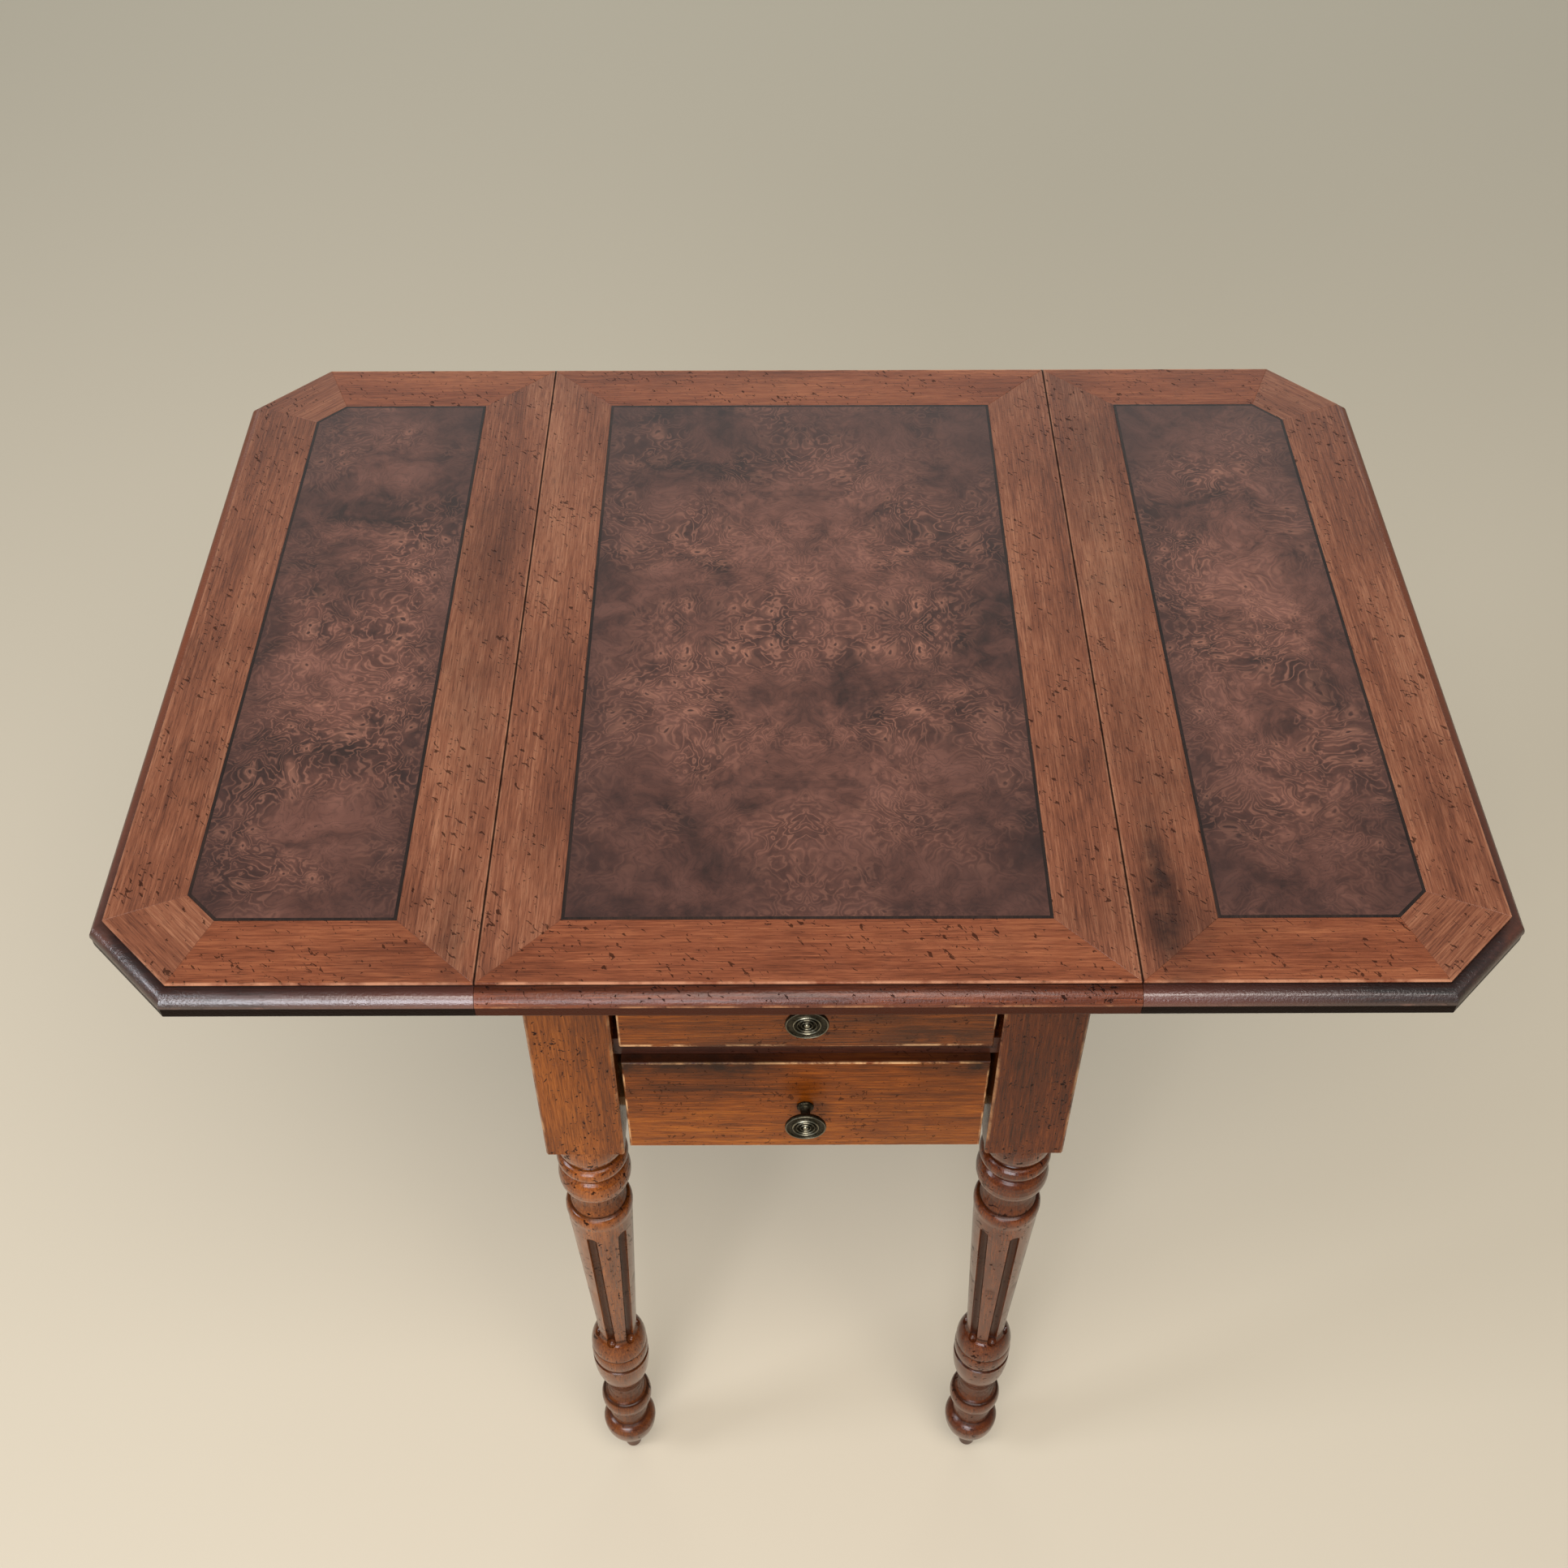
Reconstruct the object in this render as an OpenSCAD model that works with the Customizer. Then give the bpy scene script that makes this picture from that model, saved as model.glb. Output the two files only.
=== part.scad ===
// Drop-leaf work table with two drawers, four turned legs and swing-out leaf brackets.
// +X right, -Y towards the user, +Z up. The origin is on the floor, under the middle of the table.

/* [Overall] */
// Height of the table from the floor to its top face
table_h = 735; // [700:1:780]
// Width of the leg frame across the outer faces of the posts
frame_w = 337; // [330:1:338]
// Depth of the leg frame across the outer faces of the posts
frame_d = 507; // [480:1:515]

/* [Top] */
// Width of the fixed centre of the top, between the two leaf joints
centre_w = 368; // [366:1:380]
// Width of each leaf, from its joint to the arris of its outer edge
leaf_w = 215; // [170:1:240]
// Depth of the top, between the arrises of its front and back edges
top_d = 574; // [565:1:600]
// How far each cut corner of a leaf comes in along both edges
corner_cut = 45; // [30:1:60]
// Thickness of the top with its veneer
top_t = 20; // [19:1:22]
// How far the moulded edge stands out beyond the arris
mould_out = 9; // [6:0.5:11]
// Width of the plain border round the burl panels
border_w = 44.5; // [35:0.5:50]
// Width of the border strip beside a leaf joint, on the leaf
joint_border_w = 48; // [38:0.5:55]
// Width of the dark stringing line round the burl
string_w = 2; // [1.5:0.5:4]

/* [Legs] */
// Width of the square post at the top of a leg
post_w = 51; // [48:1:54]
// Height of the lower end of the square post above the floor
post_foot_z = 503; // [495:1:506]
// Number of flutes round each tapered shaft
flute_count = 6; // [4:1:8]
// Width of one flute
flute_w = 7.5; // [4:0.5:8]

/* [Drawers] */
// Height of the lower edge of the lower drawer above the floor
lower_front_z = 511; // [508:1:514]
// Height of the lower drawer's front
lower_front_h = 95; // [88:1:96]
// Height of the gap between the two drawer fronts
drawer_gap = 17; // [16:1:20]
// Width of the drawer fronts
front_w = 227; // [220:1:230]
// Diameter of a brass knob
knob_d = 26; // [20:1:30]

/* [Hidden] */
$fn = 48;
tiny = 0.01;
fit = 0.3;                       // clearance between a fixed and a moving piece
mirrored = [-1, 1];

// Top
veneer_t = 1.5;
under_z = table_h - top_t;       // underside of the top
core_z = table_h - veneer_t;     // face that the veneer is laid on
joint_x = centre_w / 2;          // joint line between centre and leaf
leaf_x0 = joint_x + fit;         // inner edge of a leaf
leaf_x1 = joint_x + leaf_w;      // arris of a leaf's outer edge
half_d = top_d / 2;

// Frame
post_x0 = frame_w / 2 - post_w;  // inner side face of a post
post_x1 = frame_w / 2;
post_y0 = frame_d / 2 - post_w;  // inner front or back face of a post
post_y1 = frame_d / 2;
post_cx = post_x1 - post_w / 2;
post_cy = post_y1 - post_w / 2;
tenon = 14;                      // length of a tenon into a post
tenon_t = 7;                     // thickness of a tenon
frame_bottom = post_foot_z + 5;  // lower edge of the aprons
apron_t = 12;
apron_x1 = post_x1 - 19.5;       // outer face of a side apron
apron_x0 = apron_x1 - apron_t;
rail_t = 17;                     // thickness of the outer side rail and of the swing bracket
rail_x1 = apron_x1 + rail_t;
back_apron_t = 16;

// Drawers: front face, box and runners
face_y = -post_y1 + 1;           // front face of both drawer fronts
front_t = 18;
upper_front_z = lower_front_z + lower_front_h + drawer_gap;
upper_front_h = under_z - 1 - upper_front_z;
side_t = 9;
box_x1 = front_w / 2 - 1.5;      // outer face of a drawer side
box_len = 440;                   // length of a drawer side behind its front
back_t = 9;
drawer_bottom_t = 6;
groove = 4;                      // depth of the groove that holds the drawer bottom
lip = 11;                        // height that the lower drawer's front hangs below its sides
runner_t = 10;

// Rail between the drawers
rail_recess = 7;
divider_z0 = lower_front_z + lower_front_h + 0.5;
divider_z1 = upper_front_z - 0.5;

// Knobs
shank_d = 5;

// Swing brackets
bracket_h = 64;
bracket_len = 150;               // from the pin to the tip of the arm
pivot_y = -75;
pivot_x = apron_x1 + rail_t / 2;
knuckle_r = rail_t / 2 - 0.5;
knuckles = 5;                    // alternate fingers of the wooden knuckle joint
pin_r = 2.5;
bracket_top = under_z - fit;
bracket_z0 = bracket_top - bracket_h;
finger_h = bracket_h / knuckles;

// Leaf hinges
hinge_y = 205;
hinge_len = 50;
hinge_r = 2.6;
hinge_axis_z = under_z - hinge_r - 0.3;
hinge_pin_r = 1.1;
plate_t = 1.6;
plate_w = 26;                    // width of a flap under a leaf
plate_w_centre = joint_x - post_x1 - 1.5;  // the plate beside the posts is narrower
screw_head_r = 2.6;
screw_r = 1.3;
screw_len = 12;
hinge_knuckles = 5;

cherry = "#8c4a35";
cherry_light = "#9b5a3c";
burl = "#5f3a30";
ebony = "#2a1d1a";
edge_brown = "#3f261e";
honey = "#9c5a28";
leg_brown = "#7a4228";
inside_wood = "#b98a5a";
brass = "#4a4334";
iron = "#6b6258";

// ---------------------------------------------------------------- helpers

// A box between two opposite corners
module block(low, high) {
    translate(low) cube(high - low);
}

// Children as drawn for the right side, or mirrored for the left side
module on_side(side) {
    mirror([side < 0 ? 1 : 0, 0, 0]) children();
}

// Points of an arc from angle a0 to a1 on an ellipse with centre c and radii r
function arc(c, r, a0, a1, steps) =
    [for (i = [0 : steps]) let (a = a0 + (a1 - a0) * i / steps) [c.x + r.x * cos(a), c.y + r.y * sin(a)]];

// ---------------------------------------------------------------- legs

// Half outline of a round bead: centre height z, outer radius r, half height h, root radius root
function bead(z, r, h, root) = arc([root, z], [r - root, h], -90, 90, 10);

// Half outline of the turning, from the floor up to the square post: [radius, height]
turning_low = concat(
    [[0, 0], [5.4, 0]],
    arc([5.4, 2], [1.2, 2], -60, 0, 3),
    [[7.3, 14], [7.5, 28]],
    arc([8.4, 53], [13, 25], -80, 0, 10),
    arc([8.4, 53], [13, 10.7], 6, 56, 6),
    [[14.8, 62.4], [14.8, 63.2], [15.6, 64.2], [15.8, 72], [15.6, 80], [16.2, 84.5]],
    bead(95.5, 20.2, 9, 17),
    [[15.4, 106.5], [14.2, 112], [13.9, 118], [14.3, 124], [15.4, 130]],
    arc([11, 166], [10.8, 36], -58, -2, 9),
    [[21.8, 170.4], [20.9, 171.2], [20.9, 172]],
    arc([20.3, 180.3], [1.6, 8], -70, 70, 6),
    [[20.6, 188.6], [20.6, 189.6], [21.3, 190]],
    arc([10.8, 190.5], [10.6, 20.5], 2, 62, 8),
    [[15, 210.5], [14.7, 213]]);
turning_top = concat(
    [[22.9, 396]],
    arc([20.8, 402], [2.7, 7], -15, 85, 6),
    [[19.9, 409.4], [19.6, 411], [18.2, 415], [17.3, 420], [17.3, 426], [18, 431]],
    bead(445, 24.9, 12.4, 18.4),
    [[19, 458.2], [19, 459.4]],
    bead(467, 24.3, 6.8, 19.6),
    [[19, 474.6], [19, 475.8]],
    bead(489, 23.9, 12.4, 19.6),
    [[21, 502]]);

module turning() {
    rotate_extrude($fn = 64)
        polygon(concat(turning_low, turning_top, [[21, post_foot_z + 1], [0, post_foot_z + 1]]));
}

// One flute: a round-bottomed channel with round ends, leaning with the taper of the shaft
flute_z0 = 206;
flute_z1 = 384;
module flute() {
    foot_r = 14.9;
    head_r = 22.2;
    lean = atan((head_r - foot_r) / (flute_z1 - flute_z0));
    run = flute_z1 - flute_z0 - flute_w;
    translate([foot_r + 0.6, 0, flute_z0 + flute_w / 2]) rotate([0, lean, 0]) {
        cylinder(d = flute_w, h = run, $fn = 24);
        sphere(d = flute_w, $fn = 24);
        translate([0, 0, run]) sphere(d = flute_w, $fn = 24);
    }
}

// A front right leg; the others are mirrored from it
module leg(back) {
    soft = 1.2;
    color(leg_brown) difference() {
        union() {
            translate([0, 0, post_foot_z])
                linear_extrude(under_z - post_foot_z)
                    polygon([
                        [-post_w / 2 + soft, -post_w / 2], [post_w / 2 - soft, -post_w / 2],
                        [post_w / 2, -post_w / 2 + soft], [post_w / 2, post_w / 2 - soft],
                        [post_w / 2 - soft, post_w / 2], [-post_w / 2 + soft, post_w / 2],
                        [-post_w / 2, post_w / 2 - soft], [-post_w / 2, -post_w / 2 + soft],
                    ]);
            turning();
        }
        for (k = [0 : flute_count - 1])
            rotate([0, 0, -90 + 15 + k * 360 / flute_count]) flute();
        leg_mortises(back);
    }
}

// Mortises in a front right leg, in the leg's own place
module leg_mortises(back) {
    translate([-post_cx, post_cy, 0]) {
        side_tenons();
        if (!back) divider_tenon();
    }
    if (back) mirror([0, 1, 0]) translate([-post_cx, -post_cy, 0]) back_tenons();
}

module placed_leg(side, end) {
    mirror([side < 0 ? 1 : 0, 0, 0]) mirror([0, end > 0 ? 1 : 0, 0])
        translate([post_cx, -post_cy, 0]) leg(end > 0);
}

module leg_front_left() { placed_leg(-1, -1); }
module leg_front_right() { placed_leg(1, -1); }
module leg_back_left() { placed_leg(-1, 1); }
module leg_back_right() { placed_leg(1, 1); }

// ---------------------------------------------------------------- aprons and rails

// Tenons at both ends of the right side apron
module side_tenons() {
    for (end = mirrored) {
        y0 = end * post_y0;
        y1 = end * (post_y0 + tenon);
        mid = (apron_x0 + apron_x1) / 2;
        block([mid - tenon_t / 2, min(y0, y1), frame_bottom + 12],
              [mid + tenon_t / 2, max(y0, y1), under_z - 14]);
    }
}

// Tenons at both ends of the back apron, which stands between the back posts
back_mid_y = post_y1 - 8 - back_apron_t / 2;
module back_tenons() {
    for (side = mirrored) {
        x0 = side * post_x0;
        x1 = side * (post_x0 + tenon);
        block([min(x0, x1), back_mid_y - tenon_t / 2, frame_bottom + 12],
              [max(x0, x1), back_mid_y + tenon_t / 2, under_z - 14]);
    }
}

// Tenons at both ends of the rail between the drawers
module divider_tenon() {
    for (side = mirrored) {
        x0 = side * post_x0;
        x1 = side * (post_x0 + tenon);
        block([min(x0, x1), face_y + rail_recess + 6, divider_z0 + 4],
              [max(x0, x1), face_y + rail_recess + 18, divider_z1 - 4]);
    }
}

module side_apron(side) {
    color(leg_brown) on_side(side) {
        block([apron_x0, -post_y0, frame_bottom], [apron_x1, post_y0, under_z]);
        side_tenons();
    }
}
module apron_left() { side_apron(-1); }
module apron_right() { side_apron(1); }

module apron_back() {
    color(leg_brown) {
        block([-post_x0, back_mid_y - back_apron_t / 2, frame_bottom],
              [post_x0, back_mid_y + back_apron_t / 2, under_z]);
        back_tenons();
    }
}

// Outer side rail, cut out for the swing bracket, with the fixed half of the knuckle joint
module side_rail(side) {
    arm_y1 = pivot_y + bracket_len + 3;
    step_z = bracket_z0 - 1.5;
    color(honey) on_side(side) difference() {
        union() {
            block([apron_x1, -post_y0, frame_bottom], [rail_x1, post_y0, step_z]);
            block([apron_x1, arm_y1, step_z - tiny], [rail_x1, post_y0, under_z]);
            block([apron_x1, -post_y0, step_z - tiny],
                  [rail_x1, pivot_y - knuckle_r - 1, under_z]);
            fixed_fingers();
        }
        translate([pivot_x, pivot_y, step_z - 20]) cylinder(r = pin_r, h = bracket_h + 40);
    }
}

// Fixed fingers of the knuckle joint: 1st, 3rd and 5th of five
module fixed_fingers() {
    for (k = [0 : 2 : knuckles - 1]) {
        z0 = bracket_z0 + k * finger_h + (k == 0 ? -1.5 - tiny : 0.2);
        z1 = bracket_z0 + (k + 1) * finger_h - (k == knuckles - 1 ? -fit : 0.2);
        translate([pivot_x, pivot_y, z0]) cylinder(r = knuckle_r, h = z1 - z0);
        block([apron_x1 + 0.5, pivot_y - knuckle_r - 1 - tiny, z0], [rail_x1 - 0.5, pivot_y, z1]);
    }
}
module side_rail_left() { side_rail(-1); }
module side_rail_right() { side_rail(1); }

module drawer_divider() {
    color(honey) {
        block([-post_x0, face_y + rail_recess, divider_z0],
              [post_x0, face_y + rail_recess + 24, divider_z1]);
        divider_tenon();
    }
}

// One runner: a ledge under the drawer side, and a guide strip between the drawer and the apron
module runner(top_z) {
    guide_x = box_x1 + fit;
    block([box_x1 - side_t - 2, -post_y0, top_z - runner_t], [apron_x0, post_y0, top_z]);
    block([guide_x, -post_y0, top_z - tiny], [apron_x0, post_y0, top_z + 12]);
    block([box_x1 - side_t - 2, face_y + rail_recess + 24, top_z - runner_t],
          [post_x0, -post_y0 + tiny, top_z]);
    block([box_x1 - side_t - 2, post_y0 - tiny, top_z - runner_t],
          [post_x0, back_mid_y - back_apron_t / 2, top_z]);
}
module upper_runners() {
    color(inside_wood) for (side = mirrored) on_side(side) runner(upper_front_z - fit);
}
module lower_runners() {
    color(inside_wood) for (side = mirrored) on_side(side) runner(lower_front_z + lip - fit);
}

// Four small blocks on the back apron that stop the drawers flush with the posts
stop_y = face_y + front_t + box_len + fit;
module drawer_stops() {
    color(inside_wood) for (side = mirrored, z = [upper_front_z, lower_front_z + lip]) on_side(side)
        block([box_x1 - side_t - 22, stop_y, z + 14],
              [box_x1 - side_t - 2, back_mid_y - back_apron_t / 2, z + 34]);
}

// Glue blocks in the corner between the side aprons and the top
block_s = 22;
block_len = 70;
block_ys = [-120, 50];
module top_blocks() {
    color(inside_wood) for (side = mirrored, y = block_ys) on_side(side) difference() {
        block([apron_x0 - block_s, y, under_z - block_s], [apron_x0, y + block_len, under_z]);
        top_screw_holes(y);
    }
}
module top_screw_holes(y) {
    for (k = [0.25, 0.75]) translate([apron_x0 - block_s / 2, y + k * block_len, 0]) {
        translate([0, 0, under_z - block_s - 1]) cylinder(r = 1.85, h = block_s + 13);
        translate([0, 0, under_z - block_s - 1]) cylinder(r = 3.6, h = 3.5);
    }
}
module top_screws() {
    color(iron) for (side = mirrored, y = block_ys, k = [0.25, 0.75]) on_side(side)
        translate([apron_x0 - block_s / 2, y + k * block_len, under_z - block_s + 0.2]) {
            cylinder(r = 1.8, h = block_s + 11);
            cylinder(r = 3.6, h = 2.3);
        }
}

// ---------------------------------------------------------------- top

// Outline of the right leaf, brought in by e from the arris and by inner from the joint
function leaf_outline(e, inner) =
    let (x0 = leaf_x0 + inner, x1 = leaf_x1 - e, y1 = half_d - e, c = corner_cut - e * (2 - sqrt(2)))
    [[x0, -y1], [x1 - c, -y1], [x1, -y1 + c], [x1, y1 - c], [x1 - c, y1], [x0, y1]];

// Outline of the centre of the top, brought in by e from front and back and by side_in at the joints
function centre_outline(e, side_in) =
    let (x = joint_x - side_in, y = half_d - e) [[-x, -y], [x, -y], [x, y], [-x, y]];

// Section of a moulded board edge, from well inside it to the moulding: [outward, height]
mould_h = top_t - veneer_t;
ovolo_z = 9;                     // height of the sharp line under the ovolo
quirk = 0.8;
reach = 900;                     // the section goes back further than the whole top
edge_section = concat(
    [[-reach, 0], [mould_out - 3, 0]],
    arc([mould_out - 3, 2.4], [2.4, 2.4], -60, 0, 3),
    [[mould_out - 0.6, ovolo_z]],
    arc([quirk, ovolo_z], [mould_out - quirk, mould_h - 1.5 - ovolo_z], 0, 90, 9),
    [[0, mould_h - 1.5], [0, mould_h], [-reach, mould_h]]);

// Everything behind a moulded edge that faces along angle a, its arris at distance d from the point p
module behind_edge(p, a, d) {
    translate([p.x, p.y, under_z]) rotate([0, 0, a]) translate([d, 0, 0])
        rotate([90, 0, 0]) translate([0, 0, -reach]) linear_extrude(2 * reach) polygon(edge_section);
}

module centre_board() {
    color(leg_brown) difference() {
        intersection() {
            behind_edge([0, 0], -90, half_d);
            behind_edge([0, 0], 90, half_d);
            block([-joint_x, -half_d - 20, under_z], [joint_x, half_d + 20, core_z]);
        }
        for (side = mirrored) on_side(side) {
            for (y = block_ys) top_screw_holes(y);
            hinge_screw_holes(-1);
        }
    }
}

module leaf_board(side) {
    middle = (leaf_x0 + leaf_x1) / 2;
    corner_x = leaf_x1 - corner_cut / 2;
    corner_y = half_d - corner_cut / 2;
    color(edge_brown) on_side(side) difference() {
        intersection() {
            behind_edge([middle, 0], -90, half_d);
            behind_edge([middle, 0], 90, half_d);
            behind_edge([leaf_x1, 0], 0, 0);
            behind_edge([corner_x, -corner_y], -45, 0);
            behind_edge([corner_x, corner_y], 45, 0);
            block([leaf_x0, -half_d - 20, under_z], [leaf_x1 + 20, half_d + 20, core_z]);
        }
        hinge_screw_holes(1);
    }
}
module leaf_left_board() { leaf_board(-1); }
module leaf_right_board() { leaf_board(1); }

// A piece of veneer with the given outline
module veneer(points) {
    translate([0, 0, core_z]) linear_extrude(veneer_t) polygon(points);
}

// The strip of border along edge i, mitred between an outer and an inner outline
module border_strip(outer, inner, i) {
    j = (i + 1) % len(outer);
    veneer([outer[i], outer[j], inner[j], inner[i]]);
}

// A line of stringing between two outlines
module stringing(outer, inner) {
    translate([0, 0, core_z]) linear_extrude(veneer_t) difference() {
        polygon(outer);
        polygon(inner);
    }
}

centre_outer = centre_outline(0, 0);
centre_string = centre_outline(border_w, border_w);
centre_inner = centre_outline(border_w + string_w, border_w + string_w);

module centre_burl() { color(burl) veneer(centre_inner); }
module centre_stringing() { color(ebony) stringing(centre_string, centre_inner); }
module centre_border_front() { color(cherry_light) border_strip(centre_outer, centre_string, 0); }
module centre_border_right() { color(cherry) border_strip(centre_outer, centre_string, 1); }
module centre_border_back() { color(cherry_light) border_strip(centre_outer, centre_string, 2); }
module centre_border_left() { color(cherry) border_strip(centre_outer, centre_string, 3); }

leaf_outer = leaf_outline(0, 0);
leaf_string = leaf_outline(border_w, joint_border_w);
leaf_inner = leaf_outline(border_w + string_w, joint_border_w + string_w);

module leaf_burl(side) { color(burl) on_side(side) veneer(leaf_inner); }
module leaf_stringing(side) { color(ebony) on_side(side) stringing(leaf_string, leaf_inner); }
module leaf_border(side, i, tone) { color(tone) on_side(side) border_strip(leaf_outer, leaf_string, i); }

module leaf_left_burl() { leaf_burl(-1); }
module leaf_left_stringing() { leaf_stringing(-1); }
module leaf_left_border_front() { leaf_border(-1, 0, cherry_light); }
module leaf_left_border_front_corner() { leaf_border(-1, 1, cherry); }
module leaf_left_border_outer() { leaf_border(-1, 2, cherry); }
module leaf_left_border_back_corner() { leaf_border(-1, 3, cherry); }
module leaf_left_border_back() { leaf_border(-1, 4, cherry_light); }
module leaf_left_border_inner() { leaf_border(-1, 5, cherry); }
module leaf_right_burl() { leaf_burl(1); }
module leaf_right_stringing() { leaf_stringing(1); }
module leaf_right_border_front() { leaf_border(1, 0, cherry_light); }
module leaf_right_border_front_corner() { leaf_border(1, 1, cherry); }
module leaf_right_border_outer() { leaf_border(1, 2, cherry); }
module leaf_right_border_back_corner() { leaf_border(1, 3, cherry); }
module leaf_right_border_back() { leaf_border(1, 4, cherry_light); }
module leaf_right_border_inner() { leaf_border(1, 5, cherry); }

// ---------------------------------------------------------------- leaf hinges

knuckle_len = hinge_len / hinge_knuckles;

// Width of the plate or flap of one hinge half; dir is -1 for the centre and 1 for the leaf
function half_w(dir) = dir < 0 ? plate_w_centre : plate_w;

// Places of the screws of one hinge half: distance from the axis and place along it
function screw_places(dir) = [for (k = mirrored) [half_w(dir) * 0.62, k * hinge_len * 0.32]];

// Screw holes up into the top for both hinges of one side
module hinge_screw_holes(dir) {
    for (end = mirrored, s = screw_places(dir))
        translate([joint_x + dir * s.x, end * hinge_y + s.y, under_z - 1])
            cylinder(r = screw_r, h = screw_len + 1);
}

// Screws of both hinges on one side, countersunk in the plates
module hinge_screws(dir) {
    for (end = mirrored, s = screw_places(dir))
        translate([joint_x + dir * s.x, end * hinge_y + s.y, 0]) {
            translate([0, 0, under_z - plate_t]) cylinder(r = screw_r, h = plate_t + screw_len - 1);
            translate([0, 0, under_z - plate_t + 0.1]) cylinder(r = screw_head_r, h = 0.9);
        }
}

// One half of a hinge: a plate on the underside and its knuckles round the pin
module hinge_half(dir) {
    first = dir < 0 ? 0 : 1;
    difference() {
        union() {
            for (k = [first : 2 : hinge_knuckles - 1]) {
                y0 = -hinge_len / 2 + k * knuckle_len + 0.15;
                y1 = y0 + knuckle_len - 0.3;
                translate([joint_x, y1, hinge_axis_z]) rotate([90, 0, 0])
                    cylinder(r = hinge_r, h = y1 - y0, $fn = 32);
                x0 = joint_x + dir * 0.4;
                x1 = joint_x + dir * (hinge_r + 1.2);
                block([min(x0, x1), y0, under_z - plate_t], [max(x0, x1), y1, under_z]);
            }
            x0 = joint_x + dir * (hinge_r + 0.6);
            x1 = joint_x + dir * half_w(dir);
            block([min(x0, x1), -hinge_len / 2, under_z - plate_t],
                  [max(x0, x1), hinge_len / 2, under_z]);
        }
        bore_r = dir < 0 ? hinge_pin_r : hinge_pin_r + 0.05;
        translate([joint_x, hinge_len, hinge_axis_z]) rotate([90, 0, 0])
            cylinder(r = bore_r, h = 2 * hinge_len, $fn = 32);
        for (s = screw_places(dir)) translate([joint_x + dir * s.x, s.y, 0]) {
            translate([0, 0, under_z - plate_t - 1]) cylinder(r = screw_r, h = plate_t + 2);
            translate([0, 0, under_z - plate_t - 1]) cylinder(r = screw_head_r, h = 2);
        }
    }
}

module hinge_plates() {
    color(iron) for (side = mirrored, end = mirrored) on_side(side)
        translate([0, end * hinge_y, 0]) hinge_half(-1);
}
module hinge_flaps(side) {
    color(iron) for (end = mirrored) on_side(side)
        translate([0, end * hinge_y, 0]) hinge_half(1);
}
module hinge_flaps_left() { hinge_flaps(-1); }
module hinge_flaps_right() { hinge_flaps(1); }

module hinge_pins() {
    color(iron) for (side = mirrored, end = mirrored) on_side(side)
        translate([joint_x, end * hinge_y + hinge_len / 2, hinge_axis_z]) rotate([90, 0, 0])
            cylinder(r = hinge_pin_r, h = hinge_len, $fn = 32);
}
module hinge_screws_centre() { color(iron) for (side = mirrored) on_side(side) hinge_screws(-1); }
module hinge_screws_left() { color(iron) on_side(-1) hinge_screws(1); }
module hinge_screws_right() { color(iron) on_side(1) hinge_screws(1); }

// ---------------------------------------------------------------- swing brackets

// Side view of the arm from its shoulder to its tip: along, height above the arm's lower edge
arm_profile = concat(
    [[0, 0], [bracket_len * 0.42, 0]],
    arc([bracket_len * 0.42, 22], [22, 22], -90, -15, 6),
    arc([bracket_len - 26, 20], [32, 26], 160, 95, 5),
    [[bracket_len - 18, 48], [bracket_len, 52], [bracket_len, bracket_h], [0, bracket_h]]);

// A swing bracket folded back against its apron, with the 2nd and 4th fingers of the joint
module bracket(side) {
    shoulder = knuckle_r + 1;
    color(honey) on_side(side) difference() {
        union() {
            translate([pivot_x - rail_t / 2 + fit, pivot_y + shoulder, bracket_z0])
                intersection() {
                    rotate([90, 0, 90]) linear_extrude(rail_t - 2 * fit)
                        translate([-shoulder, 0]) polygon(arm_profile);
                    cube([rail_t, bracket_len, bracket_h]);
                }
            for (k = [1 : 2 : knuckles - 1]) {
                z0 = bracket_z0 + k * finger_h + 0.2;
                z1 = z0 + finger_h - 0.4;
                translate([pivot_x, pivot_y, z0]) cylinder(r = knuckle_r, h = z1 - z0);
                block([pivot_x - knuckle_r + 0.5, pivot_y, z0],
                      [pivot_x + knuckle_r - 0.5, pivot_y + shoulder + tiny, z1]);
            }
        }
        translate([pivot_x, pivot_y, bracket_z0 - 1]) cylinder(r = pin_r + 0.08, h = bracket_h + 2);
    }
}
module bracket_left() { bracket(-1); }
module bracket_right() { bracket(1); }

module bracket_pins() {
    color(iron) for (side = mirrored) on_side(side)
        translate([pivot_x, pivot_y, bracket_z0 - 15]) cylinder(r = pin_r, h = bracket_h + 15);
}

// ---------------------------------------------------------------- drawers

// A board with its front face at y = 0 and chamfered all round it
module chamfered_board(w, h, t, soft) {
    intersection() {
        rotate([90, 0, 90]) translate([0, 0, -w / 2]) linear_extrude(w)
            polygon([[0, soft - h / 2], [soft, -h / 2], [t, -h / 2],
                     [t, h / 2], [soft, h / 2], [0, h / 2 - soft]]);
        translate([0, 0, -h / 2]) linear_extrude(h)
            polygon([[soft - w / 2, 0], [w / 2 - soft, 0], [w / 2, soft],
                     [w / 2, t], [-w / 2, t], [-w / 2, soft]]);
    }
}

module drawer_front(z, h, floor_z) {
    color(honey) difference() {
        translate([0, face_y, z + h / 2]) chamfered_board(front_w, h, front_t, 1);
        // groove for the bottom board
        block([-box_x1 + side_t - groove, face_y + front_t - groove, floor_z],
              [box_x1 - side_t + groove, face_y + front_t + 1, floor_z + drawer_bottom_t]);
        // hole for the shank of the knob
        translate([0, face_y - 1, knob_z(z, h)]) rotate([-90, 0, 0])
            cylinder(d = shank_d + 0.1, h = front_t + 2);
    }
}

function knob_z(z, h) = z + h / 2;

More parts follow.
